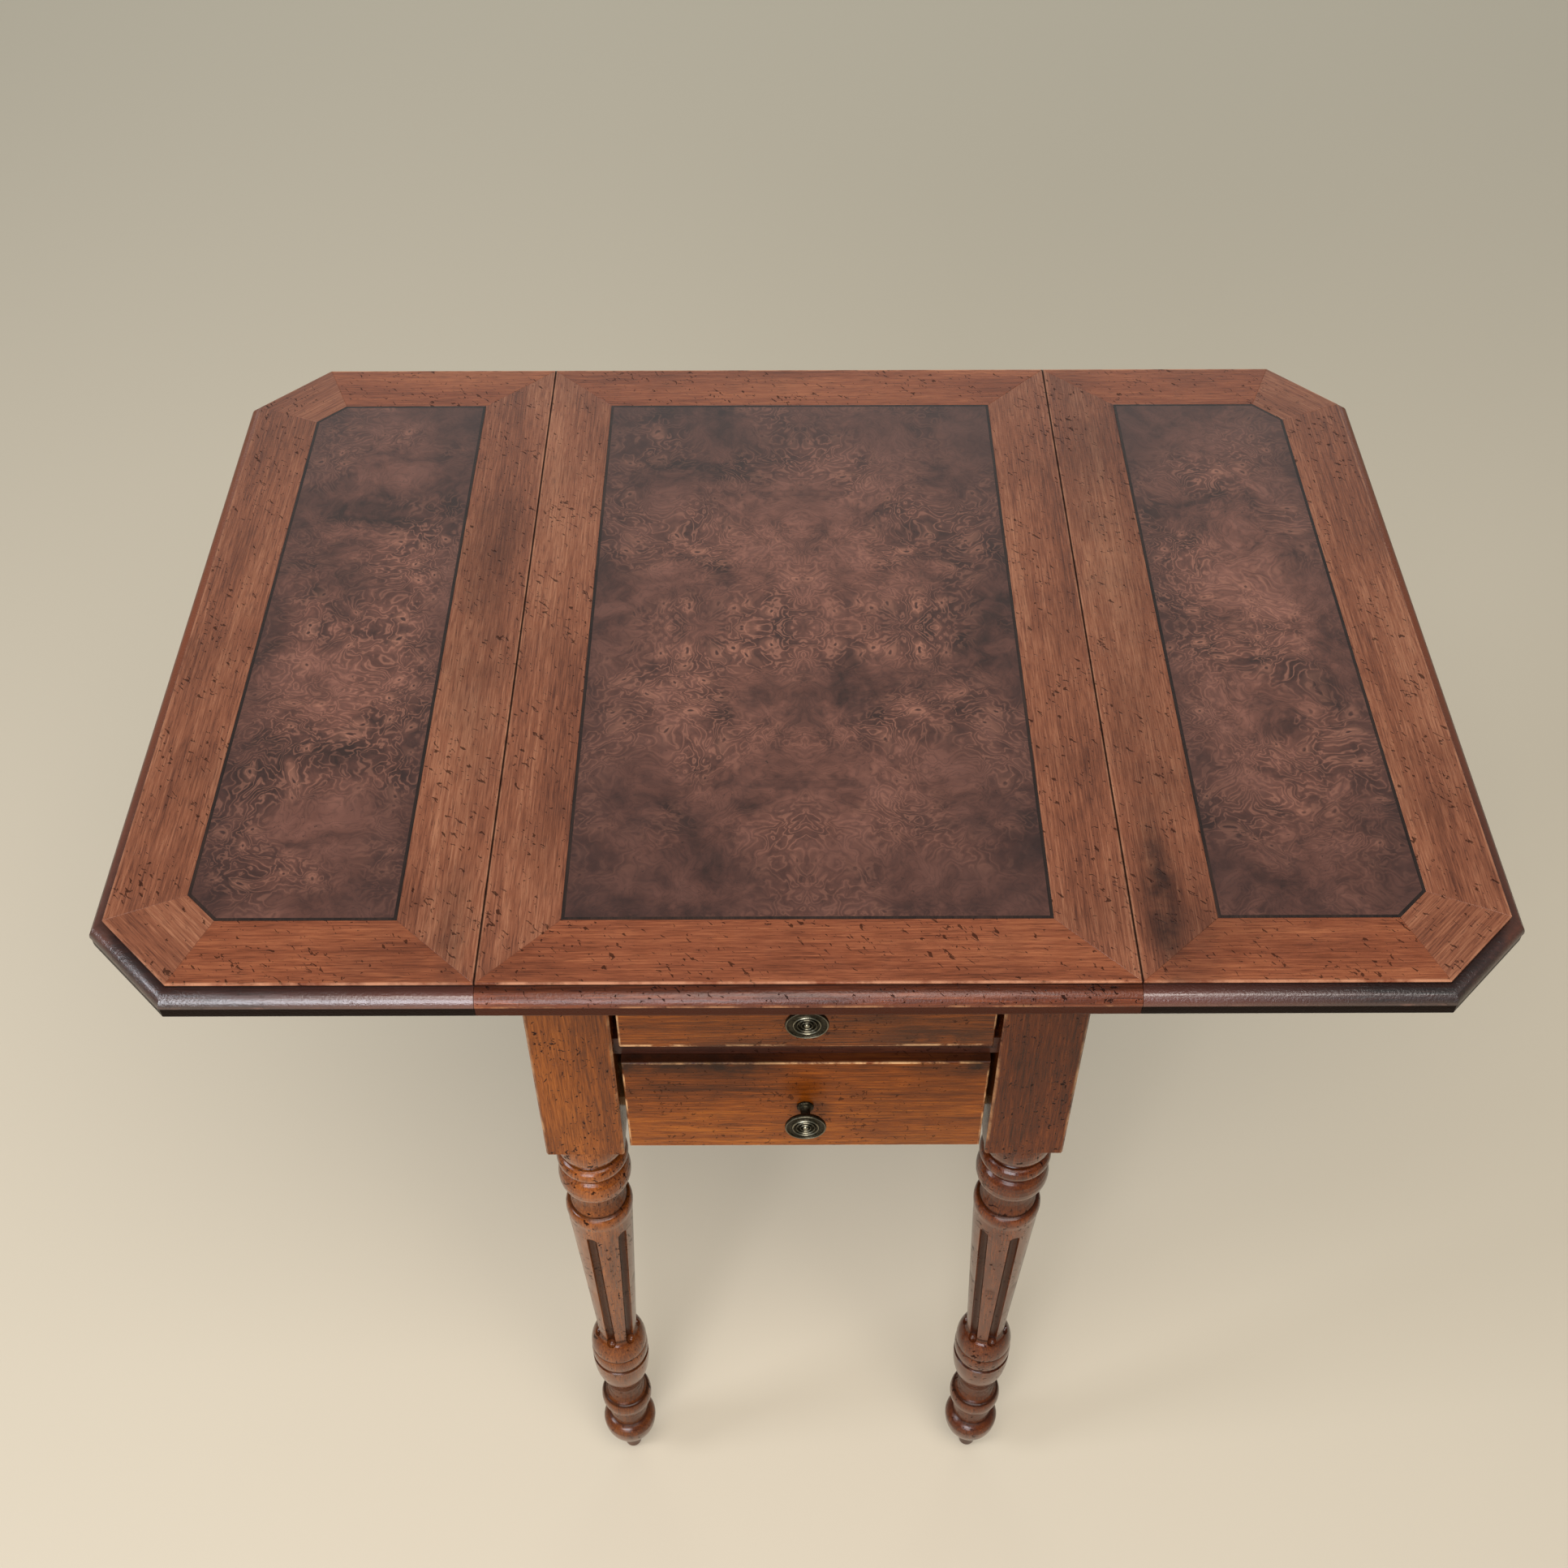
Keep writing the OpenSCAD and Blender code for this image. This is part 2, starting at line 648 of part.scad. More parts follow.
module drawer_sides(z, h, floor_z) {
    y0 = face_y + front_t;
    color(inside_wood) for (side = mirrored) on_side(side) difference() {
        block([box_x1 - side_t, y0, z], [box_x1, y0 + box_len, z + h]);
        block([box_x1 - side_t - 1, y0 - 1, floor_z],
              [box_x1 - side_t + groove, y0 + box_len - back_t, floor_z + drawer_bottom_t]);
    }
}

module drawer_back(h, floor_z) {
    y1 = face_y + front_t + box_len;
    color(inside_wood) block([-box_x1 + side_t, y1 - back_t, floor_z],
                             [box_x1 - side_t, y1, floor_z + h]);
}

module drawer_bottom(floor_z) {
    y0 = face_y + front_t;
    color(inside_wood) block([-box_x1 + side_t - groove, y0 - groove, floor_z],
                             [box_x1 - side_t + groove, y0 + box_len - back_t, floor_z + drawer_bottom_t]);
}

// Half outline of a knob with its backplate and shank: [radius, height above the drawer front]
knob_r = knob_d / 2;
knob_section = concat(
    [[0, -13], [1.4, -12], [shank_d / 2, -9], [shank_d / 2, 0], [5.4, 0], [5.4, 0.8]],
    arc([4.2, 1.0], [1.2, 1.2], 0, 80, 4),
    [[3.6, 2.4], [3.1, 4], [3.0, 8], [3.4, 10.5], [5, 12.4]],
    arc([knob_r - 3, 14.2], [3, 1.8], -80, 0, 5),
    arc([knob_r - 1.1, 16], [1.1, 1.6], 0, 180, 8),
    [[knob_r - 2.8, 15.4], [knob_r - 5.2, 15.6]],
    arc([knob_r - 6.1, 15.8], [0.8, 1.2], 0, 180, 6),
    [[knob_r - 7.4, 15], [4.3, 15]],
    arc([3.6, 15.2], [0.7, 1.4], 0, 180, 6),
    [[2.7, 14.4], [1.9, 14.6]],
    arc([0, 14.8], [1.8, 2], 0, 90, 5));

module knob(z) {
    color(brass) translate([0, face_y, z]) rotate([90, 0, 0]) rotate_extrude($fn = 64)
        polygon(knob_section);
}

upper_floor_z = upper_front_z + 7;
lower_side_z = lower_front_z + lip;
lower_floor_z = lower_side_z + 6;
upper_side_h = upper_front_h - 6;
lower_side_h = lower_front_h - lip - 3;

module drawer_upper_front() { drawer_front(upper_front_z, upper_front_h, upper_floor_z); }
module drawer_upper_sides() { drawer_sides(upper_front_z, upper_side_h, upper_floor_z); }
module drawer_upper_back() { drawer_back(upper_side_h - 14, upper_floor_z); }
module drawer_upper_bottom() { drawer_bottom(upper_floor_z); }
module drawer_upper_knob() { knob(knob_z(upper_front_z, upper_front_h)); }
module drawer_lower_front() { drawer_front(lower_front_z, lower_front_h, lower_floor_z); }
module drawer_lower_sides() { drawer_sides(lower_side_z, lower_side_h, lower_floor_z); }
module drawer_lower_back() { drawer_back(lower_side_h - 14, lower_floor_z); }
module drawer_lower_bottom() { drawer_bottom(lower_floor_z); }
module drawer_lower_knob() { knob(knob_z(lower_front_z, lower_front_h)); }

// ---------------------------------------------------------------- assembly

leg_front_left();
leg_front_right();
leg_back_left();
leg_back_right();
apron_left();
apron_right();
apron_back();
side_rail_left();
side_rail_right();
drawer_divider();
upper_runners();
lower_runners();
drawer_stops();
top_blocks();
top_screws();
centre_board();
centre_burl();
centre_stringing();
centre_border_front();
centre_border_back();
centre_border_left();
centre_border_right();
leaf_left_board();
leaf_left_burl();
leaf_left_stringing();
leaf_left_border_front();
leaf_left_border_front_corner();
leaf_left_border_outer();
leaf_left_border_back_corner();
leaf_left_border_back();
leaf_left_border_inner();
leaf_right_board();
leaf_right_burl();
leaf_right_stringing();
leaf_right_border_front();
leaf_right_border_front_corner();
leaf_right_border_outer();
leaf_right_border_back_corner();
leaf_right_border_back();
leaf_right_border_inner();
hinge_plates();
hinge_pins();
hinge_flaps_left();
hinge_flaps_right();
hinge_screws_centre();
hinge_screws_left();
hinge_screws_right();
bracket_left();
bracket_right();
bracket_pins();
drawer_upper_front();
drawer_upper_sides();
drawer_upper_back();
drawer_upper_bottom();
drawer_upper_knob();
drawer_lower_front();
drawer_lower_sides();
drawer_lower_back();
drawer_lower_bottom();
drawer_lower_knob();
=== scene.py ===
# %% [markdown]
# # A drop-leaf work table in Blender
#
# The table is an old piece of cabinet work: a fixed centre and two hinged leaves, all veneered with
# burl inside a mitred cherry border, two small drawers, and four turned legs with flutes. The
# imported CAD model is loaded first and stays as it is. Everything that shows wear, a soft arris or
# a finer shape is modelled round it, and every surface gets a finish made from nodes.

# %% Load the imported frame
from math import radians

import bmesh
import bpy
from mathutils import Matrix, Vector


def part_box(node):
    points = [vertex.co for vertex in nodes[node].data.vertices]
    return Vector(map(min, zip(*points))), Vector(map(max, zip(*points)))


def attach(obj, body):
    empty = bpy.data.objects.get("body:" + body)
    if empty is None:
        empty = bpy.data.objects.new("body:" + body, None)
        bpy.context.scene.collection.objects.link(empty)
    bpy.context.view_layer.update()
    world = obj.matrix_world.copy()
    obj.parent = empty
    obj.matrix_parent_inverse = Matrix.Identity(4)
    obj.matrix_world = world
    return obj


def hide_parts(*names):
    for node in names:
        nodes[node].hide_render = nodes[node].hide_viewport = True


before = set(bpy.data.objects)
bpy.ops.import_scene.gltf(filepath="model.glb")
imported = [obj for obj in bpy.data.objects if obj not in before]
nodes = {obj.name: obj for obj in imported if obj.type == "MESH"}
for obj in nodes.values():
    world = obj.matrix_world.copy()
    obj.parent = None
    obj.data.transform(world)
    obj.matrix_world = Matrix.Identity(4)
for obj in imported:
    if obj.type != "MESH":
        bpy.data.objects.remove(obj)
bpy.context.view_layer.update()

# %% [markdown]
# ## Camera, floor and light
#
# The table is seen from the standing height of a person in front of it, looking down at 47 degrees,
# so the top fills the view and the legs taper away below it. The floor is a plain pale sheet. Four
# large soft boxes give the lacquer something bright and even to reflect: with small lamps every
# bead of the legs would show a hard white dot instead of a long soft streak. The one behind the
# table plays the part of a pale wall, which a polished top mirrors at this angle. The sky gives
# little light, so that upright faces stay deep in colour, yet it is drawn pale where it is seen.

# %% Camera
lens = bpy.data.cameras.new("camera")
lens.lens = 42.9
lens.sensor_width = 36
camera = bpy.data.objects.new("camera", lens)
camera.location = (-0.0149, -0.9013, 1.5649)
camera.rotation_euler = (radians(90 - 47.42), radians(0.04), radians(-0.19))
bpy.context.scene.collection.objects.link(camera)
bpy.context.scene.camera = camera


# %% [markdown]
# Colours are written as the hex values a painter would pick from a swatch, and Blender wants them as
# linear light, so one function turns one into the other. One more small function adds a shader
# node with its settings and its links. A value can be a number, a node or one of a node's outputs.

# %% Colour and node helpers
def colour(hex_value):
    parts = [int(hex_value[i:i + 2], 16) / 255 for i in (1, 3, 5)]
    return tuple(c / 12.92 if c < 0.04045 else ((c + 0.055) / 1.055) ** 2.4 for c in parts) + (1,)


def add(tree, kind, inputs=None, stops=None, **settings):
    made = tree.nodes.new("ShaderNode" + kind)
    for name, value in settings.items():
        setattr(made, name, value)
    if stops:
        ramp = made.color_ramp
        while len(ramp.elements) < len(stops):
            ramp.elements.new(0.5)
        for element, (place, tone) in zip(ramp.elements, stops):
            element.position = place
            element.color = colour(tone) if isinstance(tone, str) else (tone, tone, tone, 1)
    for name, value in (inputs or {}).items():
        if isinstance(name, int):
            socket = made.inputs[name]
        else:
            socket = next(s for s in made.inputs if s.enabled and s.name == name)
        if isinstance(value, bpy.types.Node):
            value = next(s for s in value.outputs if s.enabled)
        if isinstance(value, bpy.types.NodeSocket):
            tree.links.new(value, socket)
        else:
            socket.default_value = value
    return made


def new_material(name):
    material = bpy.data.materials.new(name)
    material.use_nodes = True
    tree = material.node_tree
    tree.nodes.clear()
    shader = add(tree, "BsdfPrincipled")
    add(tree, "OutputMaterial", {"Surface": shader})
    return material, tree, shader


# %% Floor, sky and soft boxes
bpy.ops.object.select_all(action="DESELECT")
bpy.ops.mesh.primitive_plane_add(size=60, location=(0, 2, 0))
floor = bpy.context.object
floor.name = "floor"
floor_paint, tree, shader = new_material("pale_floor_paint")
shader.inputs["Base Color"].default_value = colour("#c3b7a3")
shader.inputs["Roughness"].default_value = 0.75
floor.data.materials.append(floor_paint)

sky = bpy.data.worlds.new("pale_room")
sky.use_nodes = True
room = sky.node_tree.nodes["Background"]
room.inputs["Color"].default_value = colour("#e6eeec")
seen = add(sky.node_tree, "LightPath").outputs["Is Camera Ray"]
strength = add(sky.node_tree, "MapRange", {"Value": seen, "To Min": 0.28, "To Max": 0.80})
sky.node_tree.links.new(strength.outputs["Result"], room.inputs["Strength"])
bpy.context.scene.world = sky
bpy.context.scene.view_settings.view_transform = "Standard"


def soft_box(name, place, target, size, power, tint):
    light = bpy.data.lights.new(name, "AREA")
    light.shape = "RECTANGLE"
    light.size, light.size_y = size
    light.energy = power
    light.color = colour(tint)[:3]
    lamp = bpy.data.objects.new(name, light)
    lamp.location = place
    lamp.rotation_euler = (Vector(target) - Vector(place)).to_track_quat("-Z", "Y").to_euler()
    bpy.context.scene.collection.objects.link(lamp)
    return lamp


soft_box("window_front", (-0.7, -3.0, 1.55), (0, 0, 0.6), (1.5, 1.3), 72, "#f6f8ff")
soft_box("window_left", (-2.8, -0.9, 2.3), (0, 0, 0.5), (0.9, 1.2), 40, "#f3f7ff")
soft_box("overhead", (0.1, -1.5, 3.2), (0, 0, 0.6), (2.4, 1.5), 92, "#fffaf4")
soft_box("wall_behind", (0, 5.2, 2.3), (0, 0, 0.7), (7.0, 2.4), 98, "#eef6f4")

# %% [markdown]
# ## Polished wood
#
# Cherry and stained beech are first coloured with a water stain, then rubbed with shellac or lacquer
# to a satin film. To the eye that gives four layers: slow changes of tone along the board, fine
# lines where one year's growth ends, short dark pores, and dark stain that gathers in clouds. An old
# workshop also flicks dark spots on such furniture before the last coat, called fly specks.
# One function makes them all, because the woods of this table differ only in tones and grain
# direction. Distances are in metres, so a scale of 1250 means a feature every 0.8 mm. Lacquer has
# an index of refraction near 1.5. A last argument, extra, takes a function that paints the wear of
# one kind of piece, and on some pieces painted shade too: it gets the colour so far and gives back
# the new colour and a mask of dirt and painted shade.

# %% Grain of a board
def grain(tree, run, line_mm):
    """Tone of the wood along coordinates whose first axis follows the grain, and its fibres."""
    # Slow drift of tone: about 40 mm across the grain and 300 mm along it
    drift_at = add(tree, "VectorMath", {0: run, 1: (3.2, 25, 25)}, operation="MULTIPLY")
    drift = add(tree, "TexNoise", {"Vector": drift_at, "Scale": 1.0, "Detail": 4, "Roughness": 0.6})
    # Growth lines, about line_mm apart: a slow noise bends them, so they wander and pinch as on a
    # sawn board
    ring_at = add(tree, "VectorMath", {0: run, 1: (4, 60, 60)}, operation="MULTIPLY")
    ring = add(tree, "TexNoise", {"Vector": ring_at, "Scale": 1.0, "Detail": 3, "Roughness": 0.5})
    turns = add(tree, "Math", {0: ring, 1: 360.0 / line_mm}, operation="MULTIPLY")
    line = add(tree, "Math", {0: turns}, operation="SINE")
    # Fibres: 0.3 mm in the wood, drawn 1.1 mm across and 25 mm along, so that they show
    fibre_at = add(tree, "VectorMath", {0: run, 1: (40, 900, 900)}, operation="MULTIPLY")
    fibre = add(tree, "TexNoise", {"Vector": fibre_at, "Scale": 1.0, "Detail": 4, "Roughness": 0.75})
    # Streaks: bundles of fibres that took more stain, 3 mm across and 150 mm long
    streak_at = add(tree, "VectorMath", {0: run, 1: (7, 330, 330)}, operation="MULTIPLY")
    streak = add(tree, "TexNoise", {"Vector": streak_at, "Scale": 1.0, "Detail": 3, "Roughness": 0.7})

    tone = add(tree, "Math", {0: drift, 1: 0.5}, operation="MULTIPLY")
    tone = add(tree, "Math", {0: line, 1: 0.012, 2: tone}, operation="MULTIPLY_ADD")
    tone = add(tree, "Math", {0: streak, 1: 0.28, 2: tone}, operation="MULTIPLY_ADD")
    tone = add(tree, "Math", {0: fibre, 1: 0.55, 2: tone}, operation="MULTIPLY_ADD")
    return tone, fibre


# %% Stain and fly specks
def clouds_of_stain(tree, here, base, dark, cloud):
    """Stain gathers in clouds of 60 to 120 mm."""
    noise = add(tree, "TexNoise", {"Vector": here, "Scale": 11.0, "Detail": 3, "Roughness": 0.55})
    clouds = add(tree, "MapRange", {"Value": noise, "From Min": 0.50, "From Max": 0.78,
                                    "To Min": 0.0, "To Max": cloud})
    shade = add(tree, "Mix", {"Factor": 0.62, "A": colour(dark), "B": colour("#130a08")},
                data_type="RGBA")
    return add(tree, "Mix", {"Factor": clouds, "A": base, "B": shade}, data_type="RGBA")


def fly_specks(tree, here, specks):
    """Slanting flicks of dark glaze 1 mm wide and up to 7 mm long, in loose groups."""
    fleck_at = add(tree, "Mapping", {"Vector": here, "Rotation": (0.3, 0.5, 0.9)})
    fleck_at = add(tree, "VectorMath", {0: fleck_at, 1: (120, 420, 300)}, operation="MULTIPLY")
    fleck = add(tree, "TexNoise", {"Vector": fleck_at, "Scale": 1.0, "Detail": 2,
                                   "Roughness": 0.6, "Distortion": 0.6})
    group = add(tree, "TexNoise", {"Vector": here, "Scale": 30.0, "Detail": 2})
    fleck = add(tree, "Math", {0: group, 1: 0.26, 2: fleck}, operation="MULTIPLY_ADD")
    return add(tree, "MapRange", {"Value": fleck, "From Min": 0.772, "From Max": 0.802,
                                  "To Min": 0.0, "To Max": specks})


# %% Wood function
def polished_wood(name, dark, mid, light, along="UV", line_mm=3.2, cloud=0.35, specks=0.5,
                  gloss=0.36, coat=0.05, pores=0.6, shine=0.3, feel=0.28, extra=None):
    material, tree, shader = new_material(name)
    here = add(tree, "TexCoord").outputs["Object"]
    run = add(tree, "UVMap", uv_map="grain") if along == "UV" else here
    if along in ("Y", "Z"):
        turn = (0, 0, radians(-90)) if along == "Y" else (0, radians(90), 0)
        run = add(tree, "Mapping", {"Vector": here, "Rotation": turn})

    tone, fibre = grain(tree, run, line_mm)
    base = add(tree, "ValToRGB", {"Fac": tone}, stops=[(0.50, dark), (0.66, mid), (0.82, light)])
    # Pores: short dark dashes, drawn 0.8 mm wide and 12 mm long
    pore_at = add(tree, "VectorMath", {0: run, 1: (80, 1250, 1250)}, operation="MULTIPLY")
    pore = add(tree, "TexNoise", {"Vector": pore_at, "Scale": 1.0, "Detail": 2})
    pore = add(tree, "MapRange", {"Value": pore, "From Min": 0.56, "From Max": 0.68,
                                  "To Min": 0.0, "To Max": pores})
    base = add(tree, "Mix", {"Factor": pore, "A": base, "B": colour(dark)}, data_type="RGBA")
    base = clouds_of_stain(tree, here, base, dark, cloud)
    fleck = fly_specks(tree, here, specks)
    base = add(tree, "Mix", {"Factor": fleck, "A": base, "B": colour("#1a0b07")}, data_type="RGBA")
    dull = fleck
    if extra:
        base, dirt_and_shade = extra(tree, here, run, base)
        dull = add(tree, "Math", {0: fleck, 1: dirt_and_shade}, operation="MAXIMUM")
    tree.links.new(base.outputs["Result"], shader.inputs["Base Color"])

    # The film of lacquer is a little uneven, and the fibres telegraph through it
    rub = add(tree, "TexNoise", {"Vector": here, "Scale": 60.0, "Detail": 4})
    rough = add(tree, "MapRange", {"Value": rub, "To Min": gloss - 0.07, "To Max": gloss + 0.12})
    tree.links.new(rough.outputs["Result"], shader.inputs["Roughness"])
    skin = add(tree, "TexNoise", {"Vector": here, "Scale": 700.0, "Detail": 2})
    height = add(tree, "Math", {0: fibre, 1: 0.6, 2: skin}, operation="MULTIPLY_ADD")
    height = add(tree, "Math", {0: fleck, 1: -0.8, 2: height}, operation="MULTIPLY_ADD")
    bump = add(tree, "Bump", {"Height": height, "Strength": feel, "Distance": 0.00035})
    tree.links.new(bump.outputs["Normal"], shader.inputs["Normal"])
    # Dirt, glaze and painted shade swallow nearly all of the mirror reflection of the film
    shader.inputs["IOR"].default_value = 1.5
    shader.inputs["Specular IOR Level"].default_value = shine
    shader.inputs["Coat Weight"].default_value = coat
    if extra or specks:
        level = add(tree, "MapRange", {"Value": dull, "To Min": shine, "To Max": 0.03})
        tree.links.new(level.outputs["Result"], shader.inputs["Specular IOR Level"])
        if coat:
            film = add(tree, "MapRange", {"Value": dull, "To Min": coat, "To Max": 0.0})
            tree.links.new(film.outputs["Result"], shader.inputs["Coat Weight"])
    shader.inputs["Coat Roughness"].default_value = 0.14
    return material


# %% [markdown]
# Wear needs a place to sit. Where a surface is handled, the stain has gone from the arrises and pale
# wood shows. It is never even, so a mask of noise tears it. The borders, the mouldings and the legs
# each get a wear function of their own further on, and those of the mouldings and the legs paint
# shade as well; the one here works on any piece that carries an attribute called worn.

# %% Wear functions
def patchy(tree, here, mask, scale=90.0, low=0.42, high=0.58):
    """A mask broken up by noise, so that wear comes and goes along an edge."""
    torn = add(tree, "TexNoise", {"Vector": here, "Scale": scale, "Detail": 4, "Roughness": 0.65})
    torn = add(tree, "MapRange", {"Value": torn, "From Min": low, "From Max": high})
    return add(tree, "Math", {0: mask, 1: torn}, operation="MULTIPLY")


def worn_attribute(bare, low=0.42, high=0.58, scale=90.0):
    def paint(tree, here, run, base):
        worn = add(tree, "Attribute", attribute_name="worn").outputs["Fac"]
        worn = patchy(tree, here, worn, scale, low, high)
        base = add(tree, "Mix", {"Factor": worn, "A": base, "B": colour(bare)}, data_type="RGBA")
        return base, worn
    return paint


# %% [markdown]
# ## The mitred border
#
# The border round each burl panel is cut from sheets of cherry veneer, with the grain along every
# strip and a mitre at each corner. In the CAD each strip is a separate piece, cut exactly. Its copy
# is merged into one closed shell, its edges are softened by a fraction of a millimetre, and it is
# given a map whose first axis runs along the strip and whose second axis is the distance from the
# outer edge. The finish reads that map, so the grain turns at every mitre by itself. Each strip is
# shifted along its map, or neighbours would show the same piece of veneer.

# %% Copy a CAD piece
def copy_of(node, name, flat_faces=True):
    bpy.ops.object.select_all(action="DESELECT")
    source = nodes[node]
    piece = bpy.data.objects.new(name, source.data.copy())
    bpy.context.scene.collection.objects.link(piece)
    piece.data.materials.clear()
    piece.select_set(True)
    bpy.context.view_layer.objects.active = piece
    if piece.data.has_custom_normals:
        bpy.ops.mesh.customdata_custom_splitnormals_clear()
    bpy.ops.object.mode_set(mode="EDIT")
    bpy.ops.mesh.select_all(action="SELECT")
    bpy.ops.mesh.remove_doubles(threshold=0.00001)
    if flat_faces:
        bpy.ops.mesh.dissolve_limited(angle_limit=radians(0.5))
    bpy.ops.mesh.normals_make_consistent(inside=False)
    bpy.ops.object.mode_set(mode="OBJECT")
    return piece


def soften(piece, width, segments=2, angle=30):
    edge = piece.modifiers.new("soft arrises", "BEVEL")
    edge.width = width
    edge.segments = segments
    edge.limit_method = "ANGLE"
    edge.angle_limit = radians(angle)
    edge.harden_normals = False
    bpy.ops.object.select_all(action="DESELECT")
    piece.select_set(True)
    bpy.context.view_layer.objects.active = piece
    bpy.ops.object.modifier_apply(modifier=edge.name)
    bpy.ops.object.shade_smooth_by_angle(angle=radians(angle))


# %% Grain map
def lay_grain(piece, corner, along, shift=0.0):
    """u runs along the grain from the corner, v is the distance from the edge through the corner."""
    along = Vector(along).normalized()
    across = Vector((-along.y, along.x, 0))
    layer = piece.data.uv_layers.new(name="grain")
    for polygon in piece.data.polygons:
        for i in polygon.loop_indices:
            away = piece.data.vertices[piece.data.loops[i].vertex_index].co - corner
            layer.data[i].uv = (away.dot(along) + shift, abs(away.dot(across)) + away.z * 0.3)


# %% Border finish
def border_wear(bare):
    """Bare wood of this strength on the outer arris, and dirt and smoke beside the leaf joints."""
    def paint(tree, here, run, base):
        spread = add(tree, "SeparateXYZ", {"Vector": run})
        # Bare wood on the outermost millimetre
        edge = add(tree, "MapRange", {"Value": spread.outputs["Y"], "From Min": 0.0006,
                                      "From Max": 0.0016, "To Min": bare, "To Max": 0.0})
        edge = patchy(tree, here, edge, 55.0, 0.36, 0.58)
        base = add(tree, "Mix", {"Factor": edge, "A": base, "B": colour("#b98262")}, data_type="RGBA")
        # Dirt lies in the leaf joints and blackens half a millimetre on each side
        where = add(tree, "SeparateXYZ", {"Vector": here})
        side = add(tree, "Math", {0: where.outputs["X"]}, operation="ABSOLUTE")
        beside = add(tree, "Math", {0: side, 1: joint_at}, operation="SUBTRACT")
        gap = add(tree, "Math", {0: beside}, operation="ABSOLUTE")
        rub = add(tree, "MapRange", {"Value": gap, "From Min": 0.0010, "From Max": 0.0017,
                                     "To Min": 0.34, "To Max": 0.0})
        rub = patchy(tree, here, rub, 60.0, 0.44, 0.62)
        base = add(tree, "Mix", {"Factor": rub, "A": base, "B": colour("#b98262")}, data_type="RGBA")
        gap = add(tree, "MapRange", {"Value": gap, "From Min": 0.0004, "From Max": 0.0010,
                                     "To Min": 0.9, "To Max": 0.0})
        base = add(tree, "Mix", {"Factor": gap, "A": base, "B": colour("#140a08")}, data_type="RGBA")
        # Clouds of dark stain down the middle of the strips beside the joints
        off = add(tree, "Math", {0: beside, 1: 0.026}, operation="SUBTRACT")
        off = add(tree, "Math", {0: off}, operation="ABSOLUTE")
        near = add(tree, "MapRange", {"Value": off, "From Min": 0.004, "From Max": 0.030,
                                      "To Min": 0.36, "To Max": 0.0}, interpolation_type="SMOOTHSTEP")
        smoke = patchy(tree, here, near, 9.0, 0.40, 0.66)
        base = add(tree, "Mix", {"Factor": smoke, "A": base, "B": colour("#2c1712")}, data_type="RGBA")
        # One heavy patch at the front of the right joint and a lighter one at the left
        for place, size, depth in (((joint_at + 0.018, -0.228, top_z), 0.036, 0.95),
                                   ((-joint_at - 0.016, -0.262, top_z), 0.030, 0.45)):
            apart = add(tree, "VectorMath", {0: here, 1: place}, operation="SUBTRACT")
            apart = add(tree, "VectorMath", {0: apart, 1: (2.1, 0.42, 1)}, operation="MULTIPLY")
            apart = add(tree, "VectorMath", {0: apart}, operation="LENGTH").outputs["Value"]
            spot = add(tree, "MapRange", {"Value": apart, "From Min": size * 0.15, "From Max": size,
                                          "To Min": depth, "To Max": 0.0},
                       interpolation_type="SMOOTHSTEP")
            spot = patchy(tree, here, spot, 45.0, 0.22, 0.62)
            base = add(tree, "Mix", {"Factor": spot, "A": base, "B": colour("#1d100e")},
                       data_type="RGBA")
        return base, gap
    return paint


joint_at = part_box("centre_board")[1].x
top_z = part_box("centre_border_front")[1].z
cherry_cross = polished_wood("lacquered_cherry_end_strips", "#46200f", "#753e26", "#945838",
                             cloud=0.40, specks=0.75, extra=border_wear(0.7))
cherry_long = polished_wood("lacquered_cherry_long_strips", "#452419", "#76452f", "#966449",
                            cloud=0.42, specks=0.75, extra=border_wear(0.3))

# %% Border strips
strips = []
next_sheet = 0.73  # metres of veneer between one strip and the next


def border_piece(node, body, corner, along, finish):
    strip = copy_of(node, "veneer_" + node)
    soften(strip, 0.00018, 1)
    strips.append(strip)
    lay_grain(strip, corner, along, len(strips) * next_sheet)
    strip.data.materials.append(finish)
    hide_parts(node)
    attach(strip, body)


front_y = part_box("centre_border_front")[0].y
back_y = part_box("centre_border_back")[1].y
border_piece("centre_border_front", "frame", Vector((-joint_at, front_y, top_z)), (1, 0, 0), cherry_cross)
border_piece("centre_border_back", "frame", Vector((-joint_at, back_y, top_z)), (1, 0, 0), cherry_cross)
border_piece("centre_border_left", "frame", Vector((-joint_at, front_y, top_z)), (0, 1, 0), cherry_long)
border_piece("centre_border_right", "frame", Vector((joint_at, front_y, top_z)), (0, 1, 0), cherry_long)

for side, name in ((-1, "left"), (1, "right")):
    body = "leaf_" + name
    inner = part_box(body + "_border_inner")
    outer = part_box(body + "_border_outer")
    inner_x = inner[1].x if side < 0 else inner[0].x
    outer_x = outer[0].x if side < 0 else outer[1].x
    corner_front = Vector((outer_x, outer[0].y, top_z))
    corner_back = Vector((outer_x, outer[1].y, top_z))
    border_piece(body + "_border_inner", body, Vector((inner_x, front_y, top_z)), (0, 1, 0), cherry_long)
    border_piece(body + "_border_outer", body, corner_front, (0, 1, 0), cherry_long)
    border_piece(body + "_border_front", body, Vector((inner_x, front_y, top_z)), (1, 0, 0), cherry_cross)
    border_piece(body + "_border_back", body, Vector((inner_x, back_y, top_z)), (1, 0, 0), cherry_cross)
    border_piece(body + "_border_front_corner", body, corner_front, (side, 1, 0), cherry_long)
    border_piece(body + "_border_back_corner", body, corner_back, (side, -1, 0), cherry_long)
print("border strips:", len(strips))

